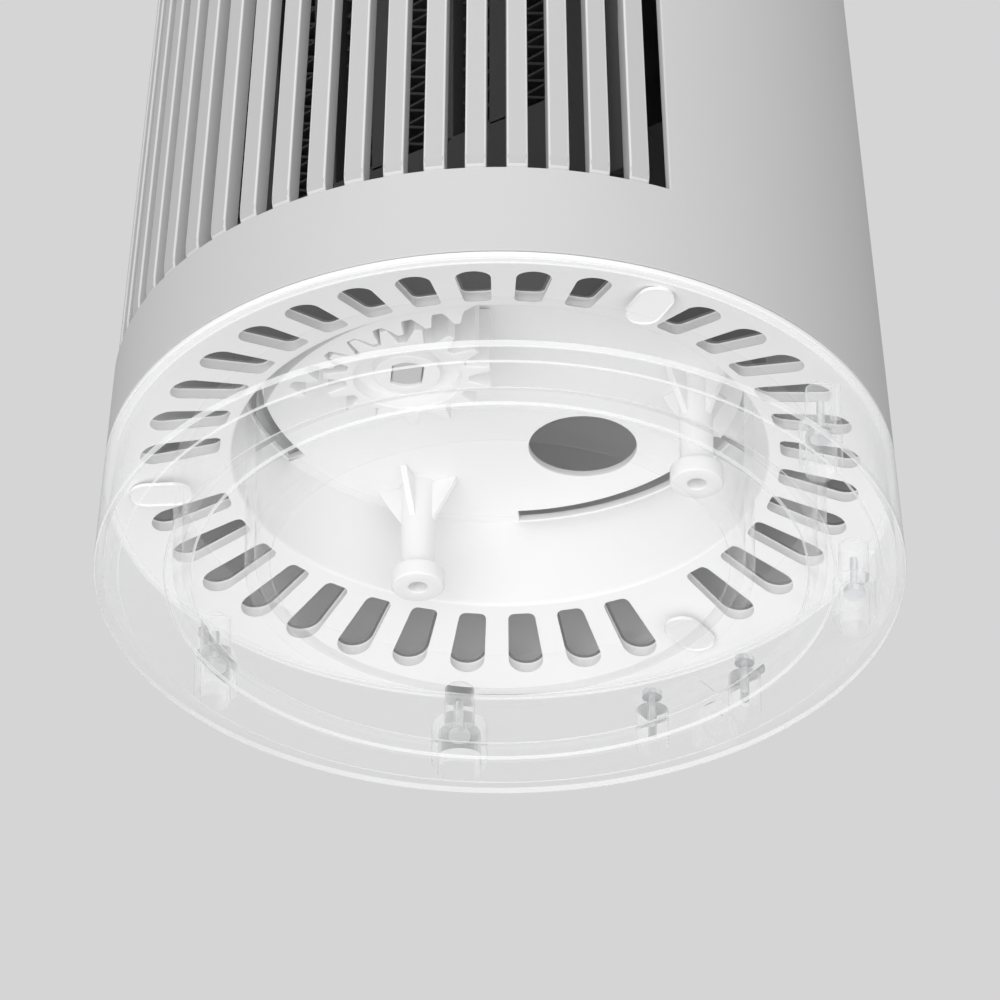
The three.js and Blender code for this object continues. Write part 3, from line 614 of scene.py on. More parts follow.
def hanging_post(skin, degrees, distance):
    """Boss, slim stem and four gussets that widen to the plate, about one post's axis.
    The turned outline climbs the bore, crosses the boss's end and goes back up its side and the stem."""
    x, y = polar(distance, degrees)
    bore, boss, stem, wide = POST["bore"], POST["radius"], POST["stem"], POST["gusset"]
    bore_end, plate = RIM_Z + POST["rise"], RECESS_Z + 0.1
    profile = [
        (0, bore_end), (bore, bore_end), (bore, RIM_Z + 0.4), (bore + 0.4, RIM_Z),
        (boss - 0.5, RIM_Z), (boss, RIM_Z + 0.5), (boss, RIM_Z + 4.3), (boss - 0.5, RIM_Z + 4.8),
        (stem + 0.3, RIM_Z + 4.9), (stem, RIM_Z + 5.4), (stem, RECESS_Z - 0.6),
        (POST["foot"], plate), (0, plate),
    ]
    skin.lathe(profile, 48, (x, y))
    corners = [(-wide, 0.1), (-wide, -0.5), (-3.4, -13), (3.4, -13), (wide, -0.5), (wide, 0.1)]
    outline = rounded(corners, 0.5, 3)
    for turn in (45, 135):

        def stand(p, side, turn=turn):
            """Upright gusset: its width turned about the post, its thickness to the side."""
            plan = turned(np.column_stack([p[:, 0], np.full(len(p), side)]), degrees + turn)
            return np.column_stack([plan + [x, y], RECESS_Z + p[:, 1]])

        skin.prism(outline, [], -0.9, 0.9, 0.25, place=stand)


def turntable_plate():
    """White dish: slotted cone, rim lip, recess wall and pierced recess plate, with two hanging posts."""
    skin = Skin()
    slotted_face(skin)
    rim = [
        (FACE_OUT, face_z(FACE_OUT)), (98, RIM_Z), (RIM_RADIUS, RIM_Z), (RIM_RADIUS - 0.1, RIM_Z + 1.5),
        (96.8, RIM_Z + 1.5), (96.6, 37), (94.8, 37), (94.8, face_z(94.8) + FACE_THICK),
        (FACE_OUT, face_z(FACE_OUT) + FACE_THICK),
    ]
    skin.lathe(rounded(rim, [0, 0.8, 0.5, 0.4, 0.3, 0.4, 0.4, 0.4, 0], 3, False), AROUND, start=-CELL / 2)
    mouth = [(FACE_IN, face_z(FACE_IN)), (RECESS_MOUTH, MOUTH_Z), (RECESS_TOP, RECESS_Z)]
    skin.lathe(rounded(mouth, [0, 1.1, 0], 6, False), AROUND, start=-CELL / 2)
    back_z = face_z(FACE_IN) + FACE_THICK
    back = [(FACE_IN, back_z), (RECESS_MOUTH + 1, back_z + 0.6), (RECESS_TOP + 2, PLATE_TOP)]
    skin.lathe(back, AROUND, start=-CELL / 2)
    half = ARC_SLOTS["half_angle"]
    holes = []
    for a in BLANKS:
        far = arc(0, 0, ARC_SLOTS["outer"], a - half, a + half, 36)
        near = arc(0, 0, ARC_SLOTS["inner"], a + half, a - half, 36)
        holes.append(np.concatenate([far, near]))
    holes.append(circle(*CABLE_HOLE, 72))
    holes.append(circle(PINION_AT[0], PINION_AT[1], 6, 36))
    holes = [anticlockwise(hole) for hole in holes]
    lip = 0.35
    for z, edge in ((RECESS_Z, RECESS_TOP), (PLATE_TOP, RECESS_TOP + 2)):
        outer = arc(0, 0, edge, -CELL / 2, 360 - CELL / 2, AROUND)[:-1]
        skin.flat([outer] + [offset(hole, lip) for hole in holes], lambda p, z=z: upright(p, z))
    heights = (RECESS_Z, RECESS_Z + 0.1, RECESS_Z + lip, PLATE_TOP - lip, PLATE_TOP)
    for hole in holes:
        rings = [upright(offset(hole, d), z) for d, z in zip((lip, 0.1, 0, 0, lip), heights)]
        skin.grid(np.stack(rings), wrap_v=True)
    for degrees, distance in POSTS:
        hanging_post(skin, degrees, distance)
    obj = piece("turntable_plate_skin", skin, PLATE_WHITE, "tower", "plate_white", ["turntable_plate"])

    def shade_behind_slots(middle, normal):
        """Faces above the slotted cone and outside the recess, which only show through the slots, painted
        dark as the shade inside the tower.
        """
        radius, z = np.hypot(middle[:, 0], middle[:, 1]), middle[:, 2]
        outside = radius > 68.2 - 1.6 * (z - 39.7) / 24
        return outside & (radius < 94.5) & (z > face_z(radius) + FACE_THICK - 0.2)

    # Painted shade: the white plate's upper faces take the dark plastic, for the shade inside the tower seen
    # through the slots.
    paint_faces(obj, DARK, shade_behind_slots)


def glide_pads():
    """Round-ended shoes under the three blank places."""
    for i, degrees in enumerate(BLANKS):
        low, _ = span(f"glide_pad_{i + 1}")
        shoe = np.concatenate([arc(3.4, 0, 4.6, -90, 90, 16), arc(-3.4, 0, 4.6, 90, 270, 16)])
        skin = Skin()
        skin.prism(turned(shoe + [86, 0], degrees), [], low[2], face_z(94) - GAP, 0.6, 4)
        piece(f"glide_pad_skin_{i + 1}", skin, PLATE_WHITE, "tower", "plate_white", [f"glide_pad_{i + 1}"])


# ---- Tower shell, louvre and rear cover ----


def cone_sheet(skin, angle_rows, heights, keep):
    """Sheet on the cone. angle_rows(z) gives the columns' angles at a height, so an edge can be straight."""
    rows = [upright(polar(radius_at(z), angle_rows(z)), z) for z in heights]
    skin.grid(np.stack(rows), keep=keep)


def tower_shell():
    """One sheet round the cone with the window and the rear bay left out, given its wall and rounded rims.
    Its inner face is a lighter grey: painted light, the inside lit from below through the plate's slots.
    """
    counts = (96, 48, 48, 48)  # columns over the window, its left, the bay and its right

    def columns(z):
        """Angles of the columns at a height. The bay's sides are upright, so its angle grows with height."""
        half = math.degrees(math.asin(BAY["half"] / float(radius_at(z))))
        stops = (210, 330, 450 - half, 450 + half, 570)
        runs = [np.linspace(a, b, n + 1)[:-1] for a, b, n in zip(stops, stops[1:], counts)]
        return np.append(np.concatenate(runs), 570)

    heights = [
        shell_low[2], 45, WINDOW["bottom"], 90, BAY["bottom"], 190, 260, BAY["top"], WINDOW["top"], 380,
        shell_high[2],
    ]
    keep = np.ones((len(heights) - 1, sum(counts)), bool)
    keep[2:8, :96] = False
    keep[4:7, 144:192] = False
    skin = Skin()
    cone_sheet(skin, columns, heights, keep)
    nodes = ["tower_shell"]
    # The inner face takes the lighter grey, painted as light coming in through the plate's slots.
    piece("tower_shell_skin", skin, SHELL_GREY, "tower", "shell_grey", nodes, SHELL, 0.45, SHELL_INSIDE_LIT)


def louvre_grille():
    """Slats that follow the cone, flat-faced with rounded edges, stepping back behind the bands to two rails.
    face is how far a slat's face lies behind the cone at each height."""
    skin = Skin()
    low, high = WINDOW["bottom"], WINDOW["top"]
    heights = np.array([
        low - 8, low + 0.28, low + 0.32, low + 0.7, low + 1.7, low + 3, low + 4.5, 130, 200, 270,
        high - 4, high - 1, high - 0.32, high - 0.28, high + 8,
    ])
    face = np.array([3.0, 3.0, 1.7, 1.35, 0.9, 0.6, 0.5, 0.5, 0.5, 0.5, 0.5, 0.9, 1.5, 3.0, 3.0])
    half = math.radians(SLAT_WIDTH / 2) * RIM_RADIUS
    section = rounded(oblong(-half, 0, half, 1), [0.75, 0.75, 0.3, 0.3], 5)
    back = 0.5 + SLAT_DEPTH + 0.9
    for i in range(SLATS):
        middle = 270 + (i - (SLATS - 1) / 2) * SLAT_PITCH
        rows = []
        for z, inset in zip(heights, face):
            cone = float(radius_at(z))
            depth = np.where(section[:, 1] < 0.5, inset + section[:, 1], back - (1 - section[:, 1]))
            across = section[:, 0] * cone / RIM_RADIUS
            rows.append(upright(turned(np.column_stack([cone - depth, across]), middle), z))
        skin.grid(np.stack(rows), wrap_v=True)
        for row in (rows[0], rows[-1]):
            start = skin.take(row)
            skin.faces.append(list(range(start, start + len(row))))
    for bottom in (low - 9, high + 2):
        top = bottom + 7
        inner = SHELL + GAP + 2.2
        outer = SHELL + GAP
        rail = [
            (radius_at(bottom) - inner, bottom), (radius_at(bottom) - outer, bottom),
            (radius_at(top) - outer, top), (radius_at(top) - inner, top),
        ]
        skin.arc_bar(rounded(rail, 0.4, 3), WINDOW["from"] - 1, WINDOW["to"] + 1, 90)
    obj = piece("louvre_skin", skin, SLAT_GREY, "tower", "shell_grey", ["louvre_grille"])

    def slat_edge_highlight(middle, normal):
        """Rounded edges of the slats, between the window's lower and upper side, which take a lighter grey as
        a painted highlight.
        """
        angle = np.degrees(np.arctan2(middle[:, 1], middle[:, 0])) % 360
        nearest = np.radians(270 + np.round((angle - 270) / SLAT_PITCH) * SLAT_PITCH)
        outward = normal[:, 0] * np.cos(nearest) + normal[:, 1] * np.sin(nearest)
        return (outward > 0.15) & (outward < 0.96) & (middle[:, 2] > low + 0.4) & (middle[:, 2] < high)

    # The slats' rounded edges are painted lighter: painted highlight.
    paint_faces(obj, SLAT_EDGE_HIGHLIGHT, slat_edge_highlight)


def rear_cover():
    """Sheet on the cone between two upright edges, with eleven upright intake slots and two clips inside."""
    clearance = 0.4
    half = BAY["half"] - clearance
    stops = [-half]
    for i in range(-5, 6):
        stops += [i * 8 - 2, i * 8 + 2]
    stops.append(half)
    between = 3
    x = [np.linspace(a, b, between + 1)[:-1] for a, b in zip(stops, stops[1:])]
    x = np.concatenate(x + [[half]])
    low, high = BAY["bottom"], BAY["top"]
    heights = [low + clearance, low + 14, 190, 260, high - 14, high - clearance]
    keep = np.ones((len(heights) - 1, len(x) - 1), bool)
    for i in range(11):
        first = between * (1 + 2 * i)
        keep[1:4, first:first + between] = False
    skin = Skin()
    cone_sheet(skin, lambda z: 90 - np.degrees(np.arcsin(x / float(radius_at(z)))), heights, keep)
    piece("rear_cover_skin", skin, SHELL_GREY, "intake", "shell_grey", ["rear_cover"], SHELL, 0.4)
    low, high = span("filter_frame")
    clips = Skin()
    for z in (low[2] + 1, high[2] - 3):
        y_far = float(radius_at(z)) - SHELL - 0.2
        outline = rounded(oblong(-8, high[1] + GAP, 8, y_far), 1, 3)
        clips.prism(outline, [], z, z + 2, 0.3)
    piece("rear_cover_clips", clips, SHELL_GREY, "intake", "shell_grey")


# ---- Outlet frame and fin columns ----

CORE = {"y": -50, "half": 50.4, "bottom": 98, "top": 294, "columns": 6, "pitch": 18, "bar": 7, "back": -37}


def column_x(i):
    """Middle of a fin column across the frame."""
    return (i - (CORE["columns"] - 1) / 2) * CORE["pitch"]


def outlet_frame():
    """Flat dark plate shaped to the cone with one opening, and a bar between each two fin columns."""
    skin = Skin()
    z = np.linspace(frame_low[2], frame_high[2], 24)
    x = np.sqrt((radius_at(z) - SHELL - 3) ** 2 - CORE["y"] ** 2)
    outer = np.concatenate([np.column_stack([x, z]), np.column_stack([-x, z])[::-1]])
    half, low, high = CORE["half"], CORE["bottom"], CORE["top"]
    opening = rounded(oblong(-half, low, half, high), 1.2, 4)
    skin.prism(outer, [opening], frame_low[1], CORE["y"], 0.35, place=facing_front)
    for i in range(CORE["columns"] - 1):
        middle = (column_x(i) + column_x(i + 1)) / 2
        side = CORE["bar"] / 2
        bar = rounded(oblong(middle - side, frame_low[1], middle + side, CORE["back"]), 0.5, 3)
        skin.prism(bar, [], low - 1, high + 1, 0.1)
    piece("outlet_frame_skin", skin, DARK, "tower", "dark_plastic", ["outlet_frame"])


def fin_strip(middle, half):
    """Outline of a folded strip in (x, z). Each leg crosses the column and climbs, by less to the right
    than to the left, and the folds are rounded."""
    rise_right, rise_left = 1.3, 3.9
    thick = 0.7
    x_half = half - thick
    z = CORE["bottom"] + 1.0
    points = [(middle - x_half, z)]
    to_right = True
    while True:
        z += rise_right if to_right else rise_left
        if z > CORE["top"] - 1:
            break
        points.append((middle + (x_half if to_right else -x_half), z))
        to_right = not to_right
    return ribbon(rounded(points, 0.9, 2, closed=False), thick)


def fin_columns():
    """Six columns of corrugated strip, each as deep as the bars beside it."""
    for i in range(CORE["columns"]):
        name = f"fin_column_{i + 1}"
        low, high = span(name)
        skin = Skin()
        outline = fin_strip(column_x(i), (high[0] - low[0]) / 2)
        skin.prism(outline, [], low[1], high[1], 0, 1, place=facing_front)
        piece(f"fin_strip_{i + 1}", skin, FIN_DARK, "tower", "fin_dark", [name])


# ---- Clear base ----

WELL = {"wall": 1.6, "top": 16, "roof": 2.5, "post_top": 27, "bore": 1.7}
CLAMP = {"distance": 91, "half_angle": 9, "top": 15, "radius": 4.2, "bore": 1.2, "bore_end": 6}
BASE_WALL = 2.2
FOOT_RING = (77.5, 84.5, 0.8)
ARCH = {"half": 4.5, "centre": 9.5}
WELL_STEPS = 40
FLOOR_EDGE = 98.4
RIM_IN = 95.4  # inner edge of the rounded rim under the floor


def well_places():
    """Angle, radius and plan centre of each screw well."""
    return [(angle, radius, *polar(WELL_EDGE - radius, angle)) for angle, radius in WELLS]


def clamp_places():
    """Plan centres of the cord clamp's two posts."""
    return [tuple(polar(CLAMP["distance"], 90 + side * CLAMP["half_angle"])) for side in (-1, 1)]


def notched_wall(skin, angles, inside):
    """Stepped rim and outer wall as one profile carried round the axis, with an arched notch at the rear.
    In the notch the row above the floor rises as a half circle, the cells below it are left out,
    and a strip joins the outer edge of the hole to the inner one."""
    step, top = FOOT + 0.6, RIM_Z - GAP

    def wall(z, depth=0.0):
        """Profile point on the cone, or a depth inside it."""
        return float(radius_at(z)) - depth, z

    lower = [(RIM_IN, FOOT), (96, FOOT), (96, step), wall(step), wall(FLOOR_TOP)]
    lower = rounded(lower, [0, 0.28, 0.3, 0.6, 0], 5, False)
    upper = [wall(20), wall(top), wall(top, BASE_WALL), wall(20, BASE_WALL)]
    upper = rounded(upper, [0, 0.5, 0.5, 0], 5, False)
    inner = [wall(ARCH["centre"], BASE_WALL), wall(FLOOR_TOP, BASE_WALL), (FLOOR_EDGE, FLOOR_TOP)]
    profile = np.vstack([lower, [wall(ARCH["centre"])], upper, inner])
    foot_out = len(lower) - 1
    arch_out, arch_in, foot_in = foot_out + 1, len(profile) - 3, len(profile) - 2
    plan = polar(profile[None, :, 0], angles[:, None])
    points = np.concatenate([plan, np.repeat(profile[None, :, 1:], len(angles), 0)], -1)
    for row, depth in ((arch_out, 0), (arch_in, BASE_WALL)):
        x = points[:inside + 1, row, 0]
        z = ARCH["centre"] + np.sqrt(np.maximum(ARCH["half"] ** 2 - x ** 2, 0))
        points[:inside + 1, row] = np.column_stack([polar(radius_at(z) - depth, angles[:inside + 1]), z])
    keep = np.ones((len(angles), len(profile) - 1), bool)
    keep[:inside, foot_out] = False
    keep[:inside, arch_in] = False
    skin.grid(points, wrap_u=True, keep=keep)
    hole = []
    for foot, arch in ((foot_out, arch_out), (foot_in, arch_in)):
        hole.append(np.vstack([points[:inside + 1, foot], points[:inside + 1, arch][::-1]]))
    skin.grid(np.stack(hole), wrap_v=True)


def base_body():
    """Clear body in one skin: stepped rim, wall, foot groove, open screw wells and two clamp posts.
    Floor rings are flat faces with a hole for each well, and each well is turned about its own axis."""
    skin = Skin()
    steps, inside = 180, 12
    notch = np.degrees(np.arcsin(ARCH["half"] * np.cos(np.linspace(0, math.pi, inside + 1)) / 101))
    angles = np.concatenate([90 - notch, np.linspace(90 - notch[-1], 450 - notch[0], steps + 1)[1:-1]])
    notched_wall(skin, angles, inside)
    inner_ring, outer_ring, groove = FOOT_RING
    ring_edge = outer_ring + 0.8
    under = [
        (0, FOOT), (inner_ring, FOOT), (inner_ring, FOOT + groove), (outer_ring, FOOT + groove),
        (outer_ring, FOOT), (ring_edge, FOOT),
    ]
    skin.lathe(rounded(under, [0, 0.38, 0.38, 0.38, 0.7, 0], 5, False), steps)
    upper = 76
    skin.lathe([(upper, FLOOR_TOP), (0, FLOOR_TOP)], steps)
    bores, cups = [], []
    for _, radius, x, y in well_places():
        inner = radius - WELL["wall"]
        roof = WELL["top"] - WELL["roof"]
        bore = WELL["bore"]
        profile = [
            (radius, FLOOR_TOP), (radius, WELL["top"]), (bore, WELL["top"]), (bore, roof), (inner, roof),
            (inner, FOOT),
        ]
        skin.lathe(rounded(profile, [0, 0.9, 0.2, 0.2, 0.9, 0], 5, False), WELL_STEPS, (x, y))
        bores.append(circle(x, y, inner, WELL_STEPS))
        cups.append(circle(x, y, radius, WELL_STEPS))
    side, bore, end, top = CLAMP["radius"], CLAMP["bore"], CLAMP["bore_end"], CLAMP["top"]
    for x, y in clamp_places():
        profile = [(side, FLOOR_TOP), (side, top), (bore, top), (bore, end), (0, end)]
        skin.lathe(rounded(profile, [0, 0.4, 0.2, 0.2, 0], 3, False), WELL_STEPS, (x, y))
        cups.append(circle(x, y, side, WELL_STEPS))
    below = [polar(RIM_IN, angles), circle(0, 0, ring_edge, steps)] + bores
    above = [polar(FLOOR_EDGE, angles), circle(0, 0, upper, steps)] + cups
    skin.flat(below, lambda p: upright(p, FOOT))
    skin.flat(above, lambda p: upright(p, FLOOR_TOP))
    obj = piece("base_body_skin", skin, CLEAR_SHEET, "base", "clear_plastic", ["base_shell", "base_floor"])

    def well_highlight(middle, normal):
        """Wells and clamp posts, above the floor and inside the wall, drawn whiter and more opaque as a
        painted highlight.
        """
        radius = np.hypot(middle[:, 0], middle[:, 1])
        return (middle[:, 2] > FLOOR_TOP + 0.2) & (radius < FLOOR_EDGE - 4)

    def lip(middle, normal):
        """Rounded and upright faces of the rim and the floor, and the wall's upper edge, drawn nearly opaque
        white as a painted highlight along the clear edges.
        """
        radius = np.hypot(middle[:, 0], middle[:, 1])
        low = (middle[:, 2] < FLOOR_TOP + 0.1) & (np.abs(normal[:, 2]) < 0.97)
        high = (middle[:, 2] > RIM_Z - GAP - 0.6) & (radius > FLOOR_EDGE - 2)
        return low | high

    paint_faces(obj, CLEAR_CUP_HIGHLIGHT, well_highlight)
    paint_faces(obj, CLEAR_LIP_HIGHLIGHT, lip)


def base_posts():
    """Screw posts that hang from the wall over the wells, each with a rib out to the wall.
    The screws fill their bores."""
    skin = Skin()
    for angle, radius, x, y in well_places():
        bottom, top = WELL["top"] + GAP, WELL["post_top"]
        profile = [(0, bottom), (3.6, bottom), (4, bottom + 0.4), (3.8, top - 0.5), (3.3, top), (0, top)]
        skin.lathe(profile, 32, (x, y))
        near = WELL_EDGE - radius + 3
        rib = rounded(oblong(near, -0.8, 98.2, 0.8), 0.3, 2)
        skin.prism(turned(rib, angle), [], bottom, top - 1, 0.2)
    # The posts take the whiter, more opaque clear: painted highlight for the bright marks over the wells.
    piece("base_posts", skin, CLEAR_CUP_HIGHLIGHT, "base", "clear_plastic")


def base_hub():
    """Clear hub wall with a foot flange, and three barbed hooks on its rim."""
    skin = Skin()
    inner, outer, top = 61.8, 64.2, RECESS_Z - 0.5
    low, high = hub_low[2], hub_high[2]
    profile = [
        (inner - 4, low), (outer, low), (outer, top), (inner, top), (inner, low + 2), (inner - 4, low + 2),
    ]
    profile = rounded(profile, [0.4, 0.3, 0.5, 0.5, 0.8, 0.5], 3)
    skin.lathe(np.vstack([profile, profile[:1]]), 180)
    catch = PLATE_TOP + 0.6
    barb = [
        (inner + 0.1, top - 2), (outer - 0.1, top - 2), (outer - 0.1, catch), (outer + 2.4, catch),
        (outer + 1.2, high), (inner + 0.1, high),
    ]
    for degrees in BLANKS:
        skin.arc_bar(rounded(barb, [0, 0, 0.2, 0.5, 0.8, 0.6], 3), degrees - 4, degrees + 4, 8)
    piece("base_hub_skin", skin, CLEAR_INNER, "base", "clear_plastic", ["base_hub"])


def ring_piece(node, inner, outer, material, slot):
    """Ring of rounded rectangular section that fills a CAD ring."""
    low, high = span(node)
    section = rounded(oblong(inner, low[2], outer, high[2]), 0.5, 4)
    skin = Skin()
    skin.lathe(np.vstack([section, section[:1]]), 180)
    piece(f"{node}_skin", skin, material, "base", slot, [node])


# ---- Swing gears ----

MODULE = 2.5
SECTOR = {"teeth": 44, "pitch_radius": 55.0, "back": 61.2, "from": 228, "to": 300}
PINION = {"teeth": 15, "groove_out": 13.6, "groove_in": 8.4, "hub": 7.9, "face": 0.9, "floor": 3.7}


def tooth(pitch_radius, inward):
    """Half-round-tipped tooth as (radius, angle) points about its own middle."""
    half = 90 / (pitch_radius * 2 / MODULE)
    tip = pitch_radius + (-0.9 if inward else 1) * MODULE
    root = pitch_radius + (1.2 if inward else -1.25) * MODULE
    t = np.linspace(0, 1, 6)
    flank_r = root + (tip - root) * t
    flank_a = half * (1.42 - 0.97 * t ** 0.8)
    left, right = np.column_stack([flank_r, -flank_a]), np.column_stack([flank_r, flank_a])
    return np.concatenate([left, right[::-1]])


def gear_sector():
    """Internal teeth along an arm from the hub's wall, with a space facing the pinion's middle tooth."""
    low, high = span("gear_sector")
    start, end, pitch = SECTOR["from"], SECTOR["to"], 360 / SECTOR["teeth"]
    shape = tooth(SECTOR["pitch_radius"], True)
    first = math.ceil((start - PINION_ANGLE) / pitch)
    last = math.floor((end - PINION_ANGLE) / pitch) - 1
    middles = [PINION_ANGLE + (k + 0.5) * pitch for k in range(first, last + 1)]
    teeth = [polar(shape[:, 0], middle + shape[:, 1]) for middle in middles]
    outline = np.concatenate(teeth + [arc(0, 0, SECTOR["back"], end, start, 48)])
    skin = Skin()
    skin.prism(outline, [], low[2], high[2], 0.25, 2)
    piece("gear_sector_skin", skin, PLATE_WHITE, "base", "plate_white", ["gear_sector"])


def drive_pinion():
    """Toothed rim, an annular groove and a sunk boss with a double-D bore, all one turned and cut wheel."""
    x, y = PINION_AT[:2]
    low, high = pinion_low[2], pinion_high[2]
    count = PINION["teeth"]
    shape = tooth(MODULE * count / 2, False)
    teeth = [polar(shape[:, 0], PINION_ANGLE + k * 360 / count + shape[:, 1]) for k in range(count)]
    rim = anticlockwise(np.concatenate(teeth) + [x, y])
    bevel, steps = 0.3, 72
    skin = Skin()
    edges = ((bevel, low), (0.1, low + 0.1), (0, low + bevel), (0, high - bevel), (bevel, high))
    skin.grid(np.stack([upright(offset(rim, -inset), z) for inset, z in edges]), wrap_v=True)
    wide, narrow, hub = PINION["groove_out"], PINION["groove_in"], PINION["hub"]
    floor, face = low + PINION["floor"], low + PINION["face"]
    skin.flat([offset(rim, -bevel), circle(x, y, wide + bevel, steps)], lambda p: upright(p, low))
    groove = [
        (wide + bevel, low), (wide, low + bevel), (wide, floor), (narrow, floor), (narrow, face), (hub, face),
    ]
    skin.lathe(rounded(groove, [0, 0.2, 0.4, 0.4, 0.3, 0], 3, False), steps, (x, y))
    bore = double_d(5.3, 4.0, PINION_ANGLE + 45) + [x, y]
    skin.flat([circle(x, y, hub, steps), offset(bore, 0.2)], lambda p: upright(p, face))
    skin.flat([offset(rim, -bevel), bore], lambda p: upright(p, high))
    wall = [upright(offset(bore, 0.2), face), upright(bore, face + 0.2), upright(bore, high)]
    skin.grid(np.stack(wall), wrap_v=True)
    piece("drive_pinion_skin", skin, PLATE_WHITE, "pinion", "plate_white", ["drive_pinion"])
    shaft_low, shaft_high = span("swing_shaft")
    shaft = Skin()
    round_bar = double_d(5, 3.7, PINION_ANGLE + 45) + [x, y]
    shaft.prism(round_bar, [], shaft_low[2], shaft_high[2], 0.4, 3)
    # The shaft is painted mid grey as the shade in the pinion's bore.
    piece("swing_shaft_skin", shaft, SHAFT_SHADE_GREY, "pinion", "plate_white", ["swing_shaft"])


# ---- Top ----


def top_cap():
    """Cap with a softly rounded shoulder and a shallow round seat for the control disc."""
    joint, top, under, low = CAP_JOINT, 420.0, 414, cap_low[2]
    edge = cap_high[0]
    seat, seat_z = 46.4, 417.5
    profile = [
        (0, under), (edge - 6, under), (edge - 6, low), (edge - 3.1, low), (edge - 3.1, joint), (edge, joint),
        (edge - 0.9, top), (seat, top), (seat, seat_z), (0, seat_z),
    ]
    skin = Skin()
    skin.lathe(rounded(profile, [0, 1, 0.3, 0.3, 0.3, 0.35, 4.5, 0.5, 0.3, 0], 10, False), 180)
    piece("top_cap_skin", skin, SHELL_GREY, "tower", "shell_grey", ["top_cap"])


def control_panel():
    """Gloss disc with round button holes and a display window, its lens, and three dished buttons."""
    low, high = span("control_disc")
    boxes = [span(f"button_{i + 1}") for i in range(3)]
    places = [(foot[:2] + head[:2]) / 2 for foot, head in boxes]
    lens_low, lens_high = span("display_lens")
    window = oblong(*(lens_low[:2] - GAP), *(lens_high[:2] + GAP))
    skin = Skin()
    holes = [circle(x, y, 7.3, 64) for x, y in places] + [rounded(window, 0.8, 5)]
    skin.prism(circle(0, 0, high[0], 180), holes, low[2], high[2], 0.3, 4)
    piece("control_disc_skin", skin, PANEL, "tower", "panel_gloss", ["control_disc"])
    lens = Skin()
    outline = rounded(oblong(*lens_low[:2], *lens_high[:2]), 0.8, 5)
    lens.prism(outline, [], lens_low[2], lens_high[2], 0.2, 3)
    piece("display_lens_skin", lens, LENS, "tower", "panel_gloss", ["display_lens"])
    for i, (x, y) in enumerate(places):
        name = f"button_{i + 1}"
        foot, head = boxes[i][0][2], boxes[i][1][2]
        under = 418.8
        profile = [(0, foot), (4.6, foot), (4.6, under), (7, under), (7, head), (5.2, head), (0, head - 0.7)]
        button = Skin()
        button.lathe(rounded(profile, [0, 0.3, 0.3, 0.2, 0.6, 1.2, 0], 6, False), 64, (x, y))
        piece(f"button_skin_{i + 1}", button, SHELL_GREY, name, "shell_grey", [name])


# ---- Filter and fan ----


def filter_pack():
    """Rounded frame and a pleated sheet: a zigzag across X with round folds, carried up the frame."""
    low, high = span("filter_frame")
    edge = 3
    outline = rounded(oblong(low[0], low[2], high[0], high[2]), 2, 4)
    hole = rounded(oblong(low[0] + edge, low[2] + edge, high[0] - edge, high[2] - edge), 1, 4)
    skin = Skin()
    skin.prism(outline, [hole], low[1], high[1], 0.5, 3, place=facing_front)
    piece("filter_frame_skin", skin, PLATE_WHITE, "intake", "plate_white", ["filter_frame"])
    low, high = span("filter_media")
    folds = 38
    x = np.linspace(low[0] + 0.5, high[0] - 0.5, folds + 1)
    y = np.where(np.arange(folds + 1) % 2, high[1] - 0.4, low[1] + 0.4)
    line = rounded(np.column_stack([x, y]), 0.7, 3, closed=False)
    media = Skin()
    media.prism(ribbon(line, 0.6), [], low[2], high[2], 0, 1)
    piece("filter_pleats", media, PAPER, "intake", "filter_paper", ["filter_media"])


def impeller():
    """Cross-flow rotor: curved blades between three discs, and its shaft."""
    low, high = span("impeller")
    cx, cy = (low[:2] + high[:2]) / 2
    bottom, top, radius = 100.0, 292.0, 30.0
    skin = Skin()
    disc = circle(cx, cy, radius, 96)
    for z in (bottom, (bottom + top) / 2 - 1, top - 2):
        skin.prism(disc, [], z, z + 2, 0.3)
    skin.prism(circle(cx, cy, 2.5, 24), [], low[2], high[2], 0.3)
    blade = np.concatenate([arc(23.5, 6.2, 8, -70, -8, 8), arc(23.5, 6.2, 7.2, -8, -70, 8)])
    blades = 30
    for k in range(blades):
        skin.prism(turned(blade, k * 360 / blades) + [cx, cy], [], bottom + 1.5, top - 1.5, 0, 1)
    piece("impeller_skin", skin, DARK, "impeller", "dark_plastic", ["impeller"])


def dress_cad_nodes():
    """Node finishes for the CAD pieces that show as they are."""
    looks = {
        "steel": STEEL,
        "brass": BRASS,
        "dark_plastic": DARK,
        "board_green": BOARD,
        "clear_plastic": CLEAR_WALL,
        "clear_rubber": SILICONE,
    }
    for row in frame["record"]["subparts"]:
        node = frame["nodes"].get(row["node"])
        look = looks.get(row["material_slot"])
        if node is None or look is None or node.hide_render:
            continue
        node.data.materials.clear()
        node.data.materials.append(look)
        if row["material_slot"].startswith("clear"):
            let_light_through(node)


# ---- Room, light and camera ----

PALE = 0.665  # level of the surroundings that show
BASE_LEVEL = 0.54  # even light from all round
LOBE_LEVEL = 1.6  # more of it about the lobe's middle
LOBE = (30, -38)  # azimuth and elevation of the lobe's middle
FLOOR = {"edge": 6000, "hole": 90, "z": -0.3, "level": 0.42}


def bearing(azimuth, elevation):
    """Direction from the object, its azimuth counted from the louvre's side."""
    a, e = math.radians(azimuth), math.radians(elevation)
    return Vector((math.sin(a) * math.cos(e), -math.cos(a) * math.cos(e), math.sin(e)))


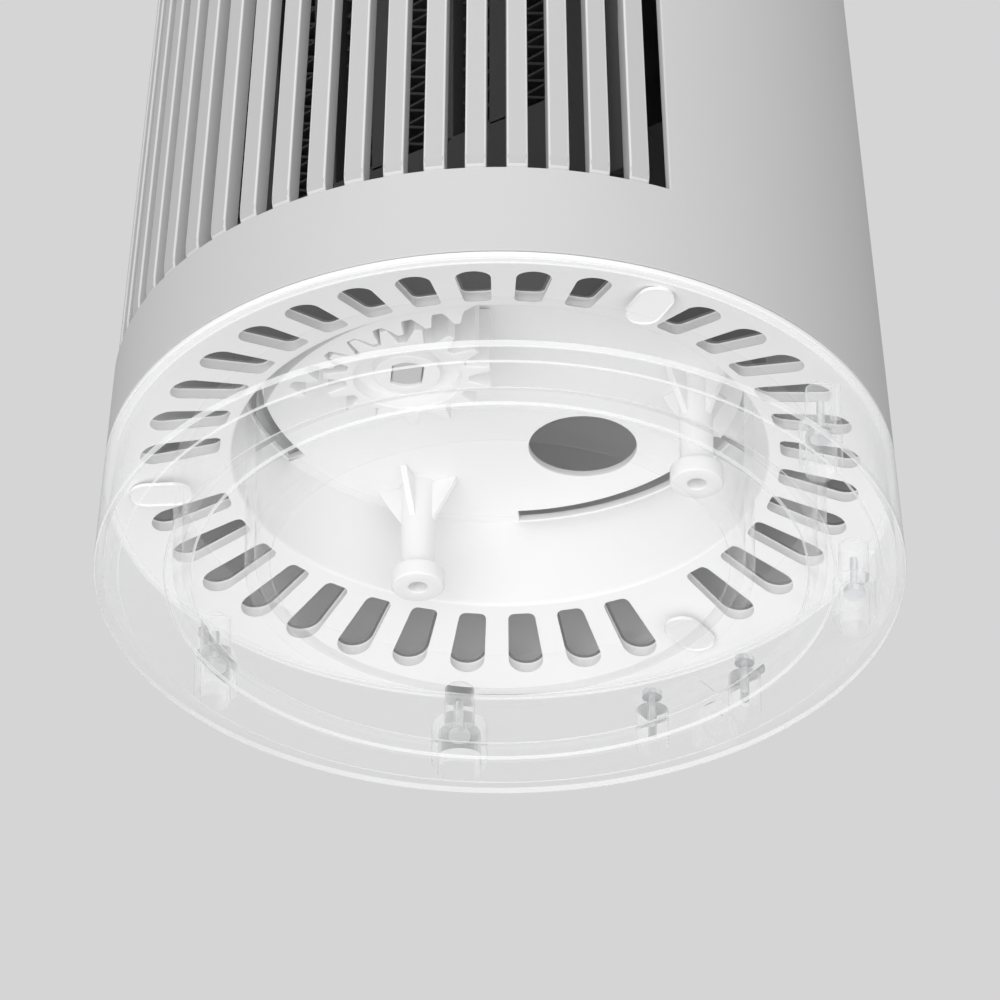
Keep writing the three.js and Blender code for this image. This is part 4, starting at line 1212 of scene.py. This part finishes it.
def stage_floor():
    """Pale floor that only the camera sees, and only from above, so that the underside is lit and open to
    view. It is open under the base."""
    made = bpy.data.materials.new("floor_paint")
    made.use_nodes = True
    nodes, link = made.node_tree.nodes, made.node_tree.links.new
    paint = nodes["Principled BSDF"]
    paint.inputs["Base Color"].default_value = grey(0.4)
    paint.inputs["Roughness"].default_value = 0.9
    paint.inputs["Emission Color"].default_value = grey(FLOOR["level"])
    paint.inputs["Emission Strength"].default_value = 1.0
    clear = nodes.new("ShaderNodeBsdfTransparent")
    mix = nodes.new("ShaderNodeMixShader")
    path = nodes.new("ShaderNodeLightPath")
    side = nodes.new("ShaderNodeNewGeometry")
    front = maths(nodes, "SUBTRACT", {})
    front.use_clamp = True
    link(path.outputs["Is Camera Ray"], front.inputs[0])
    link(side.outputs["Backfacing"], front.inputs[1])
    link(front.outputs[0], mix.inputs["Fac"])
    link(clear.outputs[0], mix.inputs[1])
    link(paint.outputs[0], mix.inputs[2])
    link(mix.outputs[0], nodes["Material Output"].inputs["Surface"])
    mesh = bpy.data.meshes.new("floor")
    skin = Skin()
    skin.lathe([(FLOOR["edge"], FLOOR["z"]), (FLOOR["hole"], FLOOR["z"])], 96)
    mesh.from_pydata(np.concatenate(skin.points) * MM, [], skin.faces)
    mesh.materials.append(made)
    obj = bpy.data.objects.new("floor", mesh)
    bpy.context.collection.objects.link(obj)


def area_light(name, azimuth, elevation, distance, size, watts):
    """Square soft light at a bearing from the object, facing it."""
    data = bpy.data.lights.new(name, "AREA")
    data.size = size
    data.energy = watts
    obj = bpy.data.objects.new(name, data)
    place = bearing(azimuth, elevation) * distance
    obj.location = place + Vector((0, 0, 0.1))
    obj.rotation_euler = place.to_track_quat("Z", "Y").to_euler()
    bpy.context.collection.objects.link(obj)


def sky():
    """Pale surroundings: even to the camera, and as light a broad lobe from below and in front,
    the square of the cosine to its middle, over a dimmer base."""
    world = bpy.data.worlds.new("room")
    world.use_nodes = True
    nodes, link = world.node_tree.nodes, world.node_tree.links.new
    shown = nodes["Background"]
    shown.inputs["Color"].default_value = grey(PALE)
    lit = nodes.new("ShaderNodeBackground")
    where = nodes.new("ShaderNodeTexCoord")
    aim = nodes.new("ShaderNodeVectorMath")
    aim.operation = "DOT_PRODUCT"
    aim.inputs[1].default_value = bearing(*LOBE)
    link(where.outputs["Generated"], aim.inputs[0])
    positive = maths(nodes, "MAXIMUM", {1: 0})
    link(aim.outputs["Value"], positive.inputs[0])
    squared = maths(nodes, "POWER", {1: 2})
    link(positive.outputs[0], squared.inputs[0])
    level = maths(nodes, "MULTIPLY_ADD", {1: LOBE_LEVEL, 2: BASE_LEVEL})
    link(squared.outputs[0], level.inputs[0])
    link(level.outputs[0], lit.inputs["Strength"])
    path = nodes.new("ShaderNodeLightPath")
    mix = nodes.new("ShaderNodeMixShader")
    link(path.outputs["Is Camera Ray"], mix.inputs["Fac"])
    link(lit.outputs[0], mix.inputs[1])
    link(shown.outputs[0], mix.inputs[2])
    link(mix.outputs[0], nodes["World Output"].inputs["Surface"])
    bpy.context.scene.world = world


def room():
    """Pale surroundings with two soft lights, one low in front and one high."""
    sky()
    bpy.context.scene.view_settings.view_transform = "Standard"
    area_light("low_key", 10, -30, 2.4, 1.6, 12)
    area_light("high_fill", 25, 72, 2.6, 1.8, 32)
    stage_floor()


def camera():
    """Long lens below the rim, aimed at the middle of the swing base."""
    target = Vector((0, 0, 0.0249))
    back = bearing(34.42, -33.75)
    data = bpy.data.cameras.new("camera")
    data.sensor_width = 36
    data.lens = 504
    data.clip_end = 50
    obj = bpy.data.objects.new("camera", data)
    obj.location = target + back * 3.53
    obj.rotation_euler = back.to_track_quat("Z", "Y").to_euler()
    bpy.context.collection.objects.link(obj)
    bpy.context.scene.camera = obj


camera()
room()
turntable_plate()
glide_pads()
tower_shell()
louvre_grille()
rear_cover()
outlet_frame()
fin_columns()
base_body()
base_posts()
base_hub()
ring_piece("bearing_track", 80, 82.4, CLEAR_INNER, "clear_plastic")
ring_piece("foot_ring", 77.8, 84.2, SILICONE, "clear_rubber")
gear_sector()
drive_pinion()
top_cap()
control_panel()
filter_pack()
impeller()
dress_cad_nodes()
